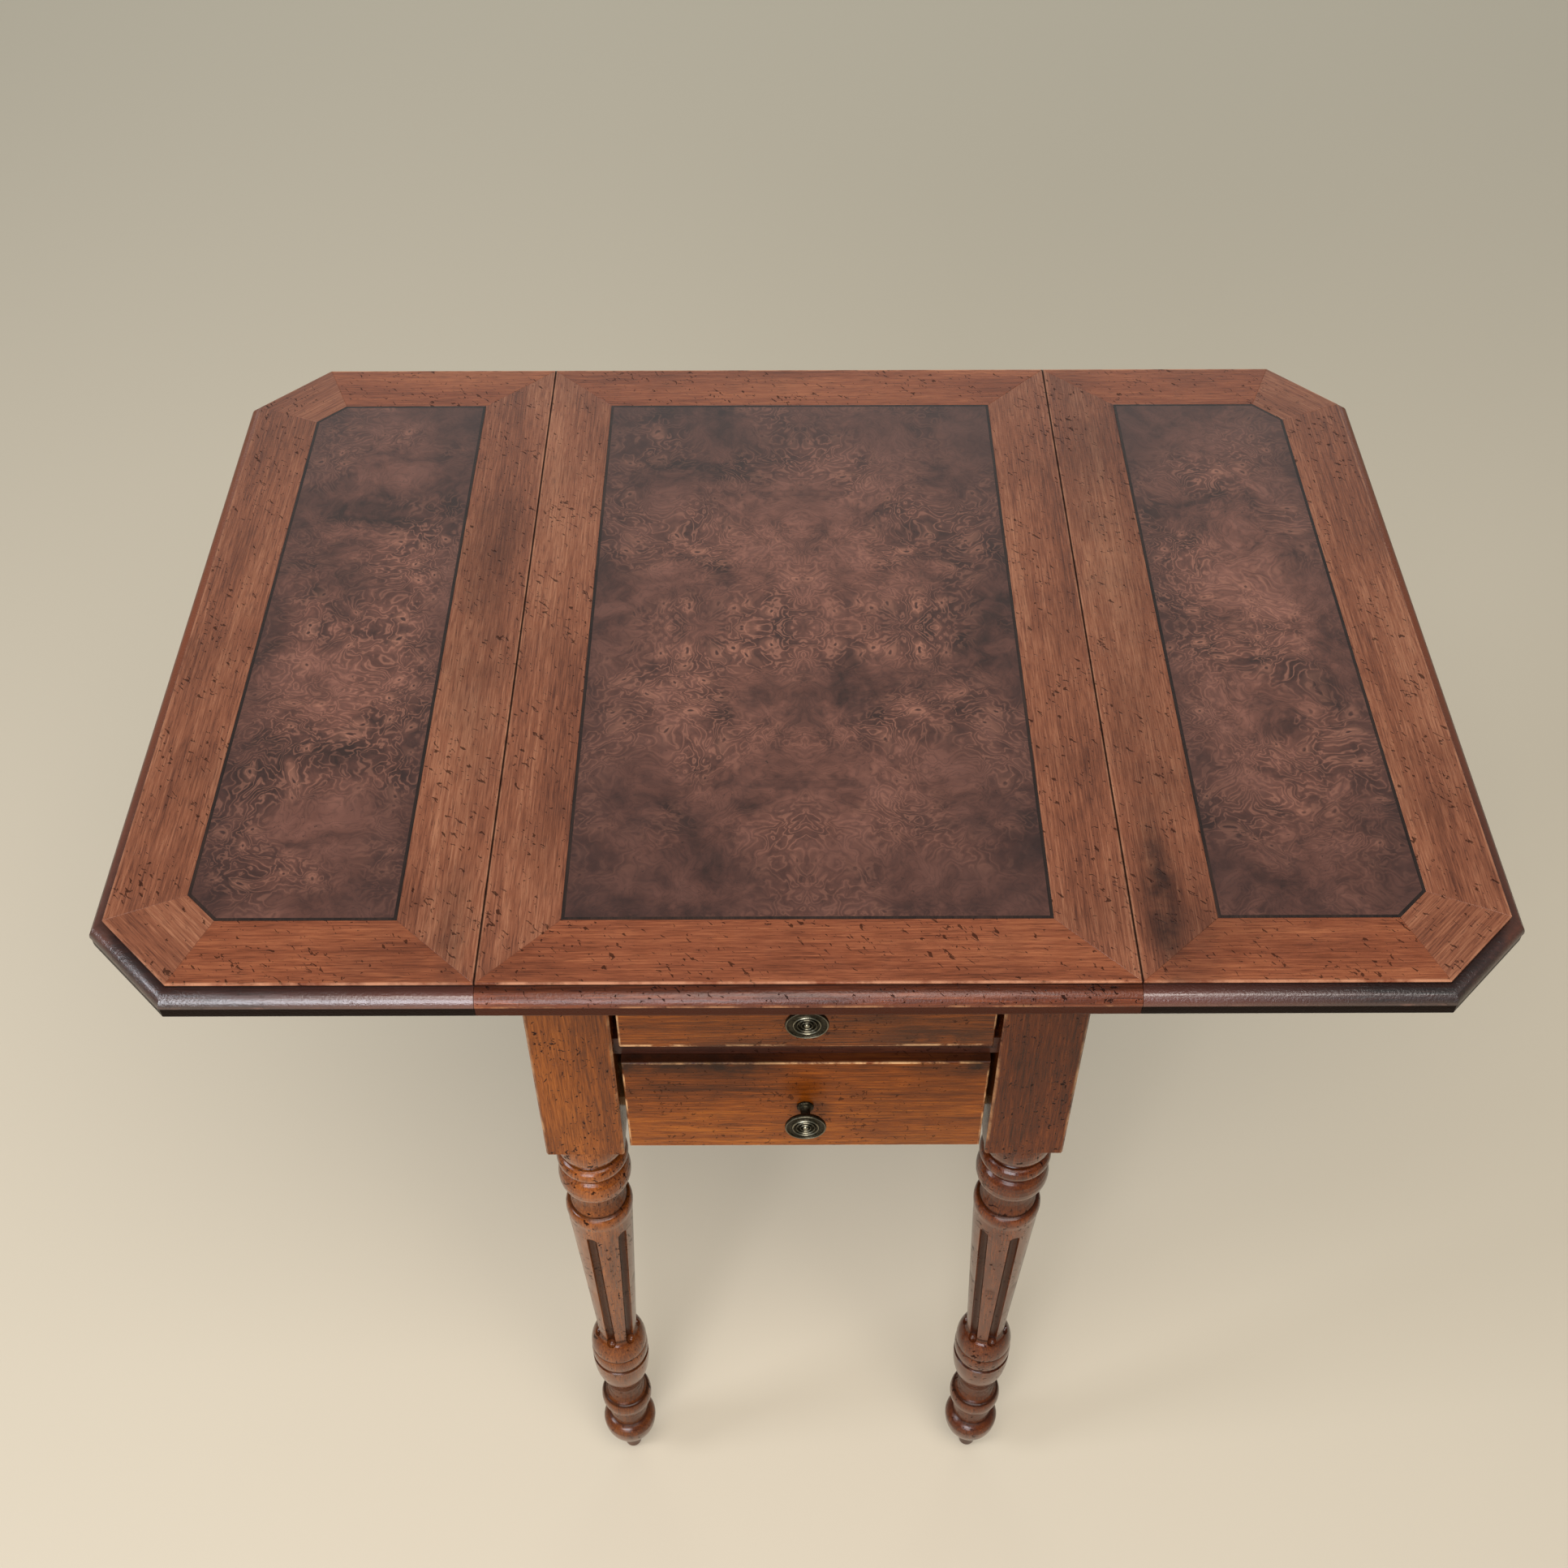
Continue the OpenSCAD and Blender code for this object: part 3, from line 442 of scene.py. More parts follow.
# %% [markdown]
# ## Burl
#
# The panels are walnut burl: a wart on the trunk with hundreds of buds that never grew, sliced into
# veneer. Every bud shows as an eye, 5 to 12 mm across, with the figure flowing round it like water
# round stones. Two steps of warping bend the space before the figure is drawn, contour lines of
# a noise give the flow lines, and the cells of a flat Voronoi pattern, in clusters, give the eyes.
# Sheets cut one after another are opened like a book, so the figure is mirrored about the middle
# of a panel. Folding the coordinates there does the same: the absolute value of the distance from
# the middle is used in place of the distance.

# %% Book match
def book_match(tree, centred, middle, across):
    """Fold the panel front to back, and the wide one left to right too."""
    axes = add(tree, "SeparateXYZ", {"Vector": centred})
    fold_x = add(tree, "Math", {0: axes.outputs["X"]}, operation="ABSOLUTE")
    fold_y = add(tree, "Math", {0: axes.outputs["Y"]}, operation="ABSOLUTE")
    here = add(tree, "CombineXYZ", {"X": fold_x if across else axes.outputs["X"], "Y": fold_y})
    return add(tree, "VectorMath", {0: here, 1: middle}, operation="ADD")


def burl_flow(tree, here):
    """Bend the space twice: slowly over 60 mm, then quickly over 13 mm."""
    slow = add(tree, "TexNoise", {"Vector": here, "Scale": 16.0, "Detail": 3})
    slow = add(tree, "VectorMath", {0: slow.outputs["Color"], 1: (0.5, 0.5, 0.5)}, operation="SUBTRACT")
    bent = add(tree, "VectorMath", {0: slow, 1: (0.06, 0.06, 0.06), 2: here}, operation="MULTIPLY_ADD")
    quick = add(tree, "TexNoise", {"Vector": bent, "Scale": 75.0, "Detail": 3})
    quick = add(tree, "VectorMath", {0: quick.outputs["Color"], 1: (0.5, 0.5, 0.5)}, operation="SUBTRACT")
    flow = add(tree, "VectorMath", {0: quick, 1: (0.016, 0.016, 0.016), 2: bent},
               operation="MULTIPLY_ADD")
    return bent, flow


# %% Eyes of the burl
def burl_eyes(tree, base, cell, lively):
    """A dark pith, a pale ring and a dark rim, in cells of about 20 mm."""
    chosen = add(tree, "SeparateXYZ", {"Vector": cell.outputs["Color"]})
    chosen = add(tree, "MapRange", {"Value": chosen.outputs["X"], "From Min": 0.42, "From Max": 0.50})
    chosen = add(tree, "Math", {0: chosen, 1: lively}, operation="MULTIPLY")
    pale = add(tree, "ValToRGB", {"Fac": cell.outputs["Distance"]},
               stops=[(0.04, 0.0), (0.08, 0.42), (0.17, 0.26), (0.34, 0.0)])
    pale = add(tree, "Math", {0: pale, 1: chosen}, operation="MULTIPLY")
    base = add(tree, "Mix", {"Factor": pale, "A": base, "B": colour("#a56f59")}, data_type="RGBA")
    ring = add(tree, "ValToRGB", {"Fac": cell.outputs["Distance"]},
               stops=[(0.035, 0.85), (0.07, 0.0), (0.18, 0.0), (0.21, 0.35), (0.27, 0.0)])
    ring = add(tree, "Math", {0: ring, 1: chosen}, operation="MULTIPLY")
    return add(tree, "Mix", {"Factor": ring, "A": base, "B": colour("#351c17")}, data_type="RGBA")


# %% Burl finish
def burl_finish(name, panel_low, panel_high, across):
    material, tree, shader = new_material(name)
    real = add(tree, "TexCoord").outputs["Object"]
    middle = (panel_low + panel_high) / 2
    centred = add(tree, "VectorMath", {0: real, 1: middle}, operation="SUBTRACT")
    here = book_match(tree, centred, middle, across)
    bent, flow = burl_flow(tree, here)
    # Distance from the middle of the panel, 1 at the middle of each edge
    reach = (panel_high - panel_low) / 2
    off = add(tree, "VectorMath", {0: centred, 1: (1 / reach.x, 1 / reach.y, 0)}, operation="MULTIPLY")
    off = add(tree, "VectorMath", {0: off}, operation="LENGTH").outputs["Value"]

    # Clouds of stain, 50 to 150 mm, put on after the veneer was laid and so not mirrored, and
    # flames that follow the flow
    cloud = add(tree, "TexNoise", {"Vector": real, "Scale": 13.0, "Detail": 5, "Roughness": 0.62,
                                   "Distortion": 0.8})
    flame = add(tree, "TexNoise", {"Vector": flow, "Scale": 60.0, "Detail": 5, "Roughness": 0.6})
    tone = add(tree, "Math", {0: cloud, 1: 0.75}, operation="MULTIPLY")
    tone = add(tree, "Math", {0: flame, 1: 0.5, 2: tone}, operation="MULTIPLY_ADD")
    base = add(tree, "ValToRGB", {"Fac": tone}, stops=[
        (0.45, "#2b1813"), (0.56, "#482b23"), (0.66, "#5e3a2f"), (0.80, "#764c3f")])

    # Flow lines, 1 to 3 mm apart, only where the burl is lively
    contour = add(tree, "TexNoise", {"Vector": flow, "Scale": 46.0, "Detail": 2, "Roughness": 0.4})
    cell = add(tree, "TexVoronoi", voronoi_dimensions="2D", inputs={"Vector": bent, "Scale": 50.0})
    swing = add(tree, "Math", {0: cell.outputs["Distance"], 1: 12.0}, operation="MULTIPLY")
    contour = add(tree, "Math", {0: contour, 1: 85.0, 2: swing}, operation="MULTIPLY_ADD")
    contour = add(tree, "Math", {0: contour}, operation="SINE")
    lively = add(tree, "TexNoise", {"Vector": here, "Scale": 14.0, "Detail": 2})
    faded = add(tree, "TexNoise", {"Vector": real, "Scale": 11.0, "Detail": 2})
    lively = add(tree, "Math", {0: lively, 1: faded}, operation="ADD")
    lively = add(tree, "Math", {0: off, 1: -0.10, 2: lively}, operation="MULTIPLY_ADD")
    lively = add(tree, "MapRange", {"Value": lively, "From Min": 0.80, "From Max": 1.06})
    line = add(tree, "MapRange", {"Value": contour, "From Min": 0.45, "From Max": 1.0,
                                  "To Min": 0.0, "To Max": 0.44})
    line = add(tree, "Math", {0: line, 1: lively}, operation="MULTIPLY")
    base = add(tree, "Mix", {"Factor": line, "A": base, "B": colour("#9c6955")}, data_type="RGBA")
    trough = add(tree, "MapRange", {"Value": contour, "From Min": -1.0, "From Max": -0.4,
                                    "To Min": 0.26, "To Max": 0.0})
    base = add(tree, "Mix", {"Factor": trough, "A": base, "B": colour("#2a1714")}, data_type="RGBA")
    base = burl_eyes(tree, base, cell, lively)

    # Stain is left darker round the edge of the panel than in its middle
    rim = add(tree, "Math", {0: cloud, 1: 0.9, 2: off}, operation="MULTIPLY_ADD")
    rim = add(tree, "MapRange", {"Value": rim, "From Min": 1.0, "From Max": 1.75,
                                 "To Min": 0.0, "To Max": 0.62})
    base = add(tree, "Mix", {"Factor": rim, "A": base, "B": colour("#271614")}, data_type="RGBA")
    # Fly specks, the same flicks of glaze as on the border
    fleck = add(tree, "TexNoise", {"Vector": real, "Scale": 520.0, "Detail": 1.5, "Distortion": 1.0})
    fleck = add(tree, "MapRange", {"Value": fleck, "From Min": 0.70, "From Max": 0.74,
                                   "To Min": 0.0, "To Max": 0.6})
    base = add(tree, "Mix", {"Factor": fleck, "A": base, "B": colour("#1e0f0c")}, data_type="RGBA")
    tree.links.new(base.outputs["Result"], shader.inputs["Base Color"])

    rub = add(tree, "TexNoise", {"Vector": here, "Scale": 45.0, "Detail": 4})
    rough = add(tree, "MapRange", {"Value": rub, "To Min": 0.34, "To Max": 0.48})
    tree.links.new(rough.outputs["Result"], shader.inputs["Roughness"])
    height = add(tree, "Math", {0: contour, 1: 0.12, 2: flame}, operation="MULTIPLY_ADD")
    bump = add(tree, "Bump", {"Height": height, "Strength": 0.12, "Distance": 0.0003})
    tree.links.new(bump.outputs["Normal"], shader.inputs["Normal"])
    shader.inputs["IOR"].default_value = 1.5
    shader.inputs["Specular IOR Level"].default_value = 0.4
    shader.inputs["Coat Weight"].default_value = 0.15
    shader.inputs["Coat Roughness"].default_value = 0.2
    return material


# %% Dress a CAD node
def dress(node, finish):
    for place in nodes[node].material_slots:
        place.material = finish


for panel in ("centre_burl", "leaf_left_burl", "leaf_right_burl"):
    dress(panel, burl_finish("lacquered_walnut_burl_" + panel.split("_burl")[0], *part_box(panel),
                             across=panel.startswith("centre")))

# %% [markdown]
# ## Stringing
#
# A line of black-dyed pearwood, 2 mm wide, parts the burl from the border. Dyed wood is even and
# close-grained, so it needs hardly any figure: a little brown where the dye has faded.

# %% Stringing finish
ebonised = polished_wood("dyed_pear_stringing", "#140d0c", "#231814", "#33231d", along="Y",
                         cloud=0.0, specks=0.0, gloss=0.34, pores=0.2)
for string in ("centre_stringing", "leaf_left_stringing", "leaf_right_stringing"):
    dress(string, ebonised)

# %% [markdown]
# ## Moulded edges
#
# The edge of the top is an ovolo over a square fillet, run with a moulding plane. The leaves are
# stained nearly black there and the centre is paler, because it has been rubbed by every hand that
# used the drawers. The sharp line under the ovolo is where the stain goes first. The fillet below it
# and the narrow quirk under the top arris are painted dark as shade. The wear and the painted shade
# are placed by height, so they follow the moulding round the cut corners without a map.

# %% Moulding finish
under_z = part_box("centre_board")[0].z
line_z = under_z + 0.009  # the fillet is 9 mm high
outer_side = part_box("leaf_right_board")[1].x


def moulding_wear_and_shade(amount, bare, low, high, glaze, warm=0.0):
    """Worn line of this strength and tone, torn between low and high, over a fillet painted dark as shade
    in the colour glaze.
    """
    def paint(tree, here, run, base):
        plain = add(tree, "Mix", {"Factor": 0.7, "A": base, "B": colour("#5c3a24")}, data_type="RGBA")
        place = add(tree, "SeparateXYZ", {"Vector": here})
        z = place.outputs["Z"]
        lower = add(tree, "Math", {0: z, 1: line_z + 0.0004}, operation="SUBTRACT")
        lower = add(tree, "Math", {0: lower}, operation="ABSOLUTE")
        lower = add(tree, "MapRange", {"Value": lower, "From Min": 0.0005, "From Max": 0.0016,
                                       "To Min": amount, "To Max": 0.0})
        lower = patchy(tree, here, lower, 70.0, low, high)
        base = add(tree, "Mix", {"Factor": lower, "A": base, "B": colour(bare)}, data_type="RGBA")
        # The outer sides are painted as red as the border, most of all towards the back
        away = add(tree, "Math", {0: place.outputs["X"]}, operation="ABSOLUTE")
        side = add(tree, "MapRange", {"Value": away, "From Min": outer_side - 0.018,
                                      "From Max": outer_side - 0.012})
        along = add(tree, "MapRange", {"Value": place.outputs["Y"], "From Min": -0.24,
                                       "From Max": 0.0, "To Min": 0.25, "To Max": 0.85})
        side = add(tree, "Math", {0: side, 1: along}, operation="MULTIPLY")
        # Hands have warmed the leaves too, near the joints
        inner = add(tree, "MapRange", {"Value": away, "From Min": joint_at,
                                       "From Max": joint_at + 0.13, "To Min": warm, "To Max": 0.0})
        base = add(tree, "Mix", {"Factor": inner, "A": base, "B": colour("#58291b")}, data_type="RGBA")
        above = add(tree, "MapRange", {"Value": z, "From Min": line_z + 0.002,
                                       "From Max": line_z + 0.006})
        red = add(tree, "Math", {0: side, 1: above}, operation="MULTIPLY")
        base = add(tree, "Mix", {"Factor": red, "A": base, "B": colour("#743f29")}, data_type="RGBA")
        # Painted shade in the narrow quirk under the top arris, left off the outer sides
        crease = add(tree, "MapRange", {"Value": z, "From Min": top_z - 0.0040,
                                        "From Max": top_z - 0.0024, "To Min": 0.0, "To Max": 0.85})
        keep = add(tree, "Math", {0: 1.0, 1: side}, operation="SUBTRACT")
        crease = add(tree, "Math", {0: crease, 1: keep}, operation="MULTIPLY")
        base = add(tree, "Mix", {"Factor": crease, "A": base, "B": colour("#140a08")},
                   data_type="RGBA")
        # The fillet below the ovolo is painted dark, as shade
        fillet = add(tree, "MapRange", {"Value": z, "From Min": line_z - 0.0010,
                                        "From Max": line_z + 0.0008, "To Min": 1.0, "To Max": 0.0})
        base = add(tree, "Mix", {"Factor": fillet, "A": base, "B": colour(glaze)}, data_type="RGBA")
        # The underside was only stained, never lacquered
        below = add(tree, "MapRange", {"Value": z, "From Min": under_z + 0.0003,
                                       "From Max": under_z + 0.0008, "To Min": 1.0, "To Max": 0.0})
        base = add(tree, "Mix", {"Factor": below, "A": base, "B": plain}, data_type="RGBA")
        painted_shade = add(tree, "Math", {0: crease, 1: fillet}, operation="MAXIMUM")
        return base, add(tree, "Math", {0: painted_shade, 1: red}, operation="MAXIMUM")
    return paint


edge_dark = polished_wood("black_brown_moulding", "#150806", "#2a130e", "#402018", along="X",
                          cloud=0.3, specks=0.25, gloss=0.30, coat=0.1, pores=0.25, shine=1.0, feel=0.6,
                          extra=moulding_wear_and_shade(0.4, "#7a5242", 0.52, 0.66, "#120906", 0.8))
edge_red = polished_wood("rubbed_cherry_moulding", "#33150a", "#592a17", "#7b4023", along="X",
                         cloud=0.35, specks=0.9, gloss=0.32, coat=0.05, pores=0.5, shine=0.35, feel=0.6,
                         extra=moulding_wear_and_shade(0.55, "#a9764f", 0.46, 0.62, "#3a1b10"))

for node, body, slot, finish in (("centre_board", "frame", "centre_edge", edge_red),
                                 ("leaf_left_board", "leaf_left", "leaf_edge", edge_dark),
                                 ("leaf_right_board", "leaf_right", "leaf_edge", edge_dark)):
    board = copy_of(node, "moulded_" + node, flat_faces=False)
    soften(board, 0.0005, 2, 25)
    board.data.materials.append(finish)
    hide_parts(node)
    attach(board, body)
    print(board.name, "faces:", len(board.data.polygons))

# %% [markdown]
# ## Legs
#
# Each leg is one billet of cherry: the square post is left at full size, and the rest is turned on a
# lathe, fluted by hand and ends in a small peg. The CAD shape is right, so it stays and gets its
# finish. Glaze gathers in the coves and flutes, which are painted darker still as shade, and is
# rubbed off the crests of the beads and the corners of the post, so the finish measures how far a
# point is from the axis of its leg. The absolute values of x and y lay all four legs on one another.
# The narrow grooves between the turned members are painted black as shade, by height.

# %% Measures of a leg
leg_low, leg_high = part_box("leg_front_right")
leg_x = (leg_low.x + leg_high.x) / 2
leg_y = -(leg_low.y + leg_high.y) / 2
post_half = (leg_high.x - leg_low.x) / 2
groove_heights = (63, 87, 104, 132, 171.6, 189, 212, 410, 432, 458.8, 475, 501)  # mm from floor
print("leg axis at", round(leg_x, 4), round(leg_y, 4), "post half width", round(post_half, 4))


def from_leg_axis(tree, place):
    """Distances from the axis of the nearest leg: along x, along y, and straight."""
    sides = []
    for name, axis in (("X", leg_x), ("Y", leg_y)):
        side = add(tree, "Math", {0: place.outputs[name]}, operation="ABSOLUTE")
        side = add(tree, "Math", {0: side, 1: axis}, operation="SUBTRACT")
        sides.append(add(tree, "Math", {0: side}, operation="ABSOLUTE"))
    flat = add(tree, "CombineXYZ", {"X": sides[0], "Y": sides[1]})
    return *sides, add(tree, "VectorMath", {0: flat}, operation="LENGTH").outputs["Value"]


def black_grooves(tree, z):
    """Mask of painted shade in the narrow grooves between the turned members, by height."""
    groove = 0.0
    for height in groove_heights:
        off = add(tree, "Math", {0: z, 1: height / 1000}, operation="SUBTRACT")
        off = add(tree, "Math", {0: off}, operation="ABSOLUTE")
        line = add(tree, "MapRange", {"Value": off, "From Min": 0.0004, "From Max": 0.0020,
                                      "To Min": 0.70, "To Max": 0.0})
        groove = add(tree, "Math", {0: groove, 1: line}, operation="MAXIMUM")
    return groove


# %% Leg wear
def leg_wear_and_shade(tree, here, run, base):
    place = add(tree, "SeparateXYZ", {"Vector": here})
    z = place.outputs["Z"]
    dx, dy, radius = from_leg_axis(tree, place)
    # Glaze and painted shade in the hollows: dark where the turning is thinner than the envelope of its
    # crests
    crest = add(tree, "MapRange", {"Value": z, "From Min": 0.20, "From Max": 0.42,
                                   "To Min": 0.0212, "To Max": 0.0240})
    depth = add(tree, "Math", {0: crest, 1: radius}, operation="SUBTRACT")
    hollow = add(tree, "MapRange", {"Value": depth, "From Min": 0.0010, "From Max": 0.0080,
                                    "To Min": 0.0, "To Max": 0.40})
    shaft = add(tree, "MapRange", {"Value": z, "From Min": 0.2085, "From Max": 0.2135,
                                   "To Min": 1.0, "To Max": 0.0})
    shaft_top = add(tree, "MapRange", {"Value": z, "From Min": 0.398, "From Max": 0.404})
    turned = add(tree, "Math", {0: shaft, 1: shaft_top}, operation="ADD")
    hollow = add(tree, "Math", {0: hollow, 1: turned}, operation="MULTIPLY")
    base = add(tree, "Mix", {"Factor": hollow, "A": base, "B": colour("#1d0b05")}, data_type="RGBA")
    # Flutes, dark with glaze and painted shade: deeper than the taper of the shaft by half a millimetre
    # or more
    taper = add(tree, "MapRange", {"Value": z, "From Min": 0.213, "From Max": 0.396,
                                   "To Min": 0.0147, "To Max": 0.0229})
    cut = add(tree, "Math", {0: taper, 1: radius}, operation="SUBTRACT")
    flute = add(tree, "MapRange", {"Value": cut, "From Min": 0.0003, "From Max": 0.0014,
                                   "To Min": 0.0, "To Max": 0.82})
    inside = add(tree, "Math", {0: 1.0, 1: turned}, operation="SUBTRACT")
    flute = add(tree, "Math", {0: flute, 1: inside}, operation="MULTIPLY")
    base = add(tree, "Mix", {"Factor": flute, "A": base, "B": colour("#1f0d06")}, data_type="RGBA")
    # Bare wood on the corners of the post
    near = add(tree, "Math", {0: dx, 1: dy}, operation="MINIMUM")
    corner = add(tree, "MapRange", {"Value": near, "From Min": post_half - 0.0022,
                                    "From Max": post_half - 0.0008, "To Min": 0.0, "To Max": 0.6})
    corner = patchy(tree, here, corner, 40.0, 0.44, 0.64)
    base = add(tree, "Mix", {"Factor": corner, "A": base, "B": colour("#b98a5c")}, data_type="RGBA")
    # The lower end is darker towards the floor
    low_end = add(tree, "MapRange", {"Value": z, "From Min": 0.0, "From Max": 0.50,
                                     "To Min": 0.42, "To Max": 0.0})
    base = add(tree, "Mix", {"Factor": low_end, "A": base, "B": colour("#321408")}, data_type="RGBA")
    # Painted shade: the narrow grooves between the turned members are blackened by height
    groove = black_grooves(tree, z)
    base = add(tree, "Mix", {"Factor": groove, "A": base, "B": colour("#160804")}, data_type="RGBA")
    # The flat sides of the post were rubbed dull, the turned members keep their polish
    post = add(tree, "MapRange", {"Value": z, "From Min": 0.500, "From Max": 0.504,
                                  "To Min": 0.0, "To Max": 0.6})
    groove = add(tree, "Math", {0: groove, 1: post}, operation="MAXIMUM")
    deep = add(tree, "Math", {0: flute, 1: groove}, operation="MAXIMUM")
    return base, add(tree, "Math", {0: deep, 1: hollow}, operation="MAXIMUM")


# %% Leg finish
# The left pair and the right pair of legs are lit and shaded copies of one finish: the left pair is
# painted lighter and more orange, as painted light, and the right pair darker and redder, as painted
# shade.
left_legs_painted_light = polished_wood("glazed_cherry_left_legs_painted_light", "#381706", "#6a340c", "#8c4c18", along="Z",
                          line_mm=4, cloud=0.45, specks=0.95, gloss=0.22, coat=0.3, extra=leg_wear_and_shade)
right_legs_painted_shade = polished_wood("glazed_cherry_right_legs_painted_shade", "#260b02", "#4c1f06", "#6e3510", along="Z",
                        line_mm=4, cloud=0.45, specks=0.95, gloss=0.22, coat=0.3, extra=leg_wear_and_shade)
for end in ("front", "back"):
    dress("leg_" + end + "_left", left_legs_painted_light)
    dress("leg_" + end + "_right", right_legs_painted_shade)
print("grooves on each leg:", len(groove_heights))

# %% [markdown]
# ## Drawer fronts
#
# A drawer front is a flat board whose arrises have been softened by years of hands. A cube at the
# size of the CAD front gets a rounded bevel of 1.6 mm on the edges of its face, and the rounded
# part is marked worn, so that bare wood shows there in patches.

# %% Drawer fronts
upper_low, lower_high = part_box("drawer_upper_front")[0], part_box("drawer_lower_front")[1]


def front_wear_and_shade(tree, here, run, base):
    base, worn = worn_attribute("#bd9166", 0.44, 0.60, 70.0)(tree, here, run, base)
    z = add(tree, "SeparateXYZ", {"Vector": here}).outputs["Z"]
    # Bare wood along the lower arris of the upper front
    off = add(tree, "Math", {0: z, 1: upper_low.z + 0.0022}, operation="SUBTRACT")
    off = add(tree, "Math", {0: off}, operation="ABSOLUTE")
    lower = add(tree, "MapRange", {"Value": off, "From Min": 0.0006, "From Max": 0.0013,
                                   "To Min": 0.9, "To Max": 0.0})
    lower = patchy(tree, here, lower, 60.0, 0.46, 0.60)
    base = add(tree, "Mix", {"Factor": lower, "A": base, "B": colour("#bd9166")}, data_type="RGBA")
    # Painted shade on the top face of the lower front, in the shadow under the rail
    off = add(tree, "Math", {0: z, 1: lower_high.z}, operation="SUBTRACT")
    off = add(tree, "Math", {0: off}, operation="ABSOLUTE")
    ledge = add(tree, "MapRange", {"Value": off, "From Min": 0.0002, "From Max": 0.0004,
                                   "To Min": 0.8, "To Max": 0.0})
    base = add(tree, "Mix", {"Factor": ledge, "A": base, "B": colour("#2a1007")}, data_type="RGBA")
    # Dark patches in the upper corners and drifting along the grain
    for x, z in ((-0.105, 0.604), (-0.050, 0.601), (0.108, 0.602), (-0.030, 0.618), (0.085, 0.632)):
        apart = add(tree, "VectorMath", {0: here, 1: (x, 0, z)}, operation="SUBTRACT")
        apart = add(tree, "VectorMath", {0: apart, 1: (0.45, 0, 1.4)}, operation="MULTIPLY")
        apart = add(tree, "VectorMath", {0: apart}, operation="LENGTH").outputs["Value"]
        dark_patch = add(tree, "MapRange", {"Value": apart, "From Min": 0.002, "From Max": 0.025,
                                        "To Min": 0.95, "To Max": 0.0},
                     interpolation_type="SMOOTHSTEP")
        dark_patch = patchy(tree, here, dark_patch, 38.0, 0.30, 0.62)
        base = add(tree, "Mix", {"Factor": dark_patch, "A": base, "B": colour("#1c0b04")},
                   data_type="RGBA")
    return base, worn


def drawer_front(which):
    node = "drawer_" + which + "_front"
    low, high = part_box(node)
    bpy.ops.object.select_all(action="DESELECT")
    bpy.ops.mesh.primitive_cube_add(size=1, location=(low + high) / 2, scale=high - low)
    front = bpy.context.object
    front.name = "front_of_" + which + "_drawer"
    bpy.ops.object.transform_apply(location=True, rotation=True, scale=True)
    bpy.ops.object.mode_set(mode="EDIT")
    bpy.ops.mesh.select_mode(type="FACE")
    bpy.ops.mesh.select_all(action="DESELECT")
    shell = bmesh.from_edit_mesh(front.data)
    for face in shell.faces:
        face.select = face.normal.y < -0.9
    bmesh.update_edit_mesh(front.data)
    bpy.ops.mesh.bevel(offset=0.0016, segments=4, affect="EDGES")
    bpy.ops.object.mode_set(mode="OBJECT")
    worn = front.data.attributes.new("worn", "FLOAT", "POINT")
    for i, vertex in enumerate(front.data.vertices):
        rounded = low.y + 0.0001 < vertex.co.y < low.y + 0.0014
        worn.data[i].value = 1.0 if rounded else 0.0
    bpy.ops.object.shade_smooth_by_angle(angle=radians(40))
    front.data.materials.append(front_wood)
    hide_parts(node)
    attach(front, "drawer_" + which)
    print(front.name, "faces:", len(front.data.polygons))


front_wood = polished_wood("stained_cherry_drawer_front", "#3a1803", "#6e3408", "#985414",
                           along="X", line_mm=5, cloud=0.6, specks=0.6, gloss=0.34, coat=0.0, shine=0.16,
                           extra=front_wear_and_shade)
drawer_front("upper")
drawer_front("lower")

# %% [markdown]
# ## Knobs
#
# The knobs are turned brass, dipped in a dark patina and rubbed back, so the flat parts are olive
# brown and only the crests of the rings are bright. Half of the outline is drawn as a chain of
# edges and spun round the shank in 72 steps, the way the lathe would do it.

# %% Knob outline
knob_outline = [  # radius and distance from the drawer front, in mm
    (0.0, -12.0), (2.4, -12.0), (2.5, -0.2), (5.0, 0.0), (5.4, 0.5), (5.2, 1.6), (4.2, 2.2),
    (3.5, 3.0), (3.1, 5.0), (3.1, 8.0), (3.6, 10.6), (5.2, 12.0), (9.2, 12.6), (11.9, 13.3),
    (12.8, 14.4), (13.0, 15.4), (12.9, 16.2), (12.5, 16.7), (12.0, 16.6), (11.7, 16.0),
    (11.2, 15.6), (9.4, 15.7), (8.7, 15.9), (8.3, 16.7), (7.9, 17.0), (7.5, 16.5), (7.1, 15.7),
    (6.4, 15.6), (6.0, 16.5), (5.7, 16.9), (5.3, 16.3), (4.8, 15.4), (4.0, 15.4), (3.6, 16.4),
    (3.3, 16.9), (2.9, 16.3), (2.4, 15.4), (1.9, 15.9), (1.4, 17.0), (0.7, 17.3), (0.0, 17.4)]


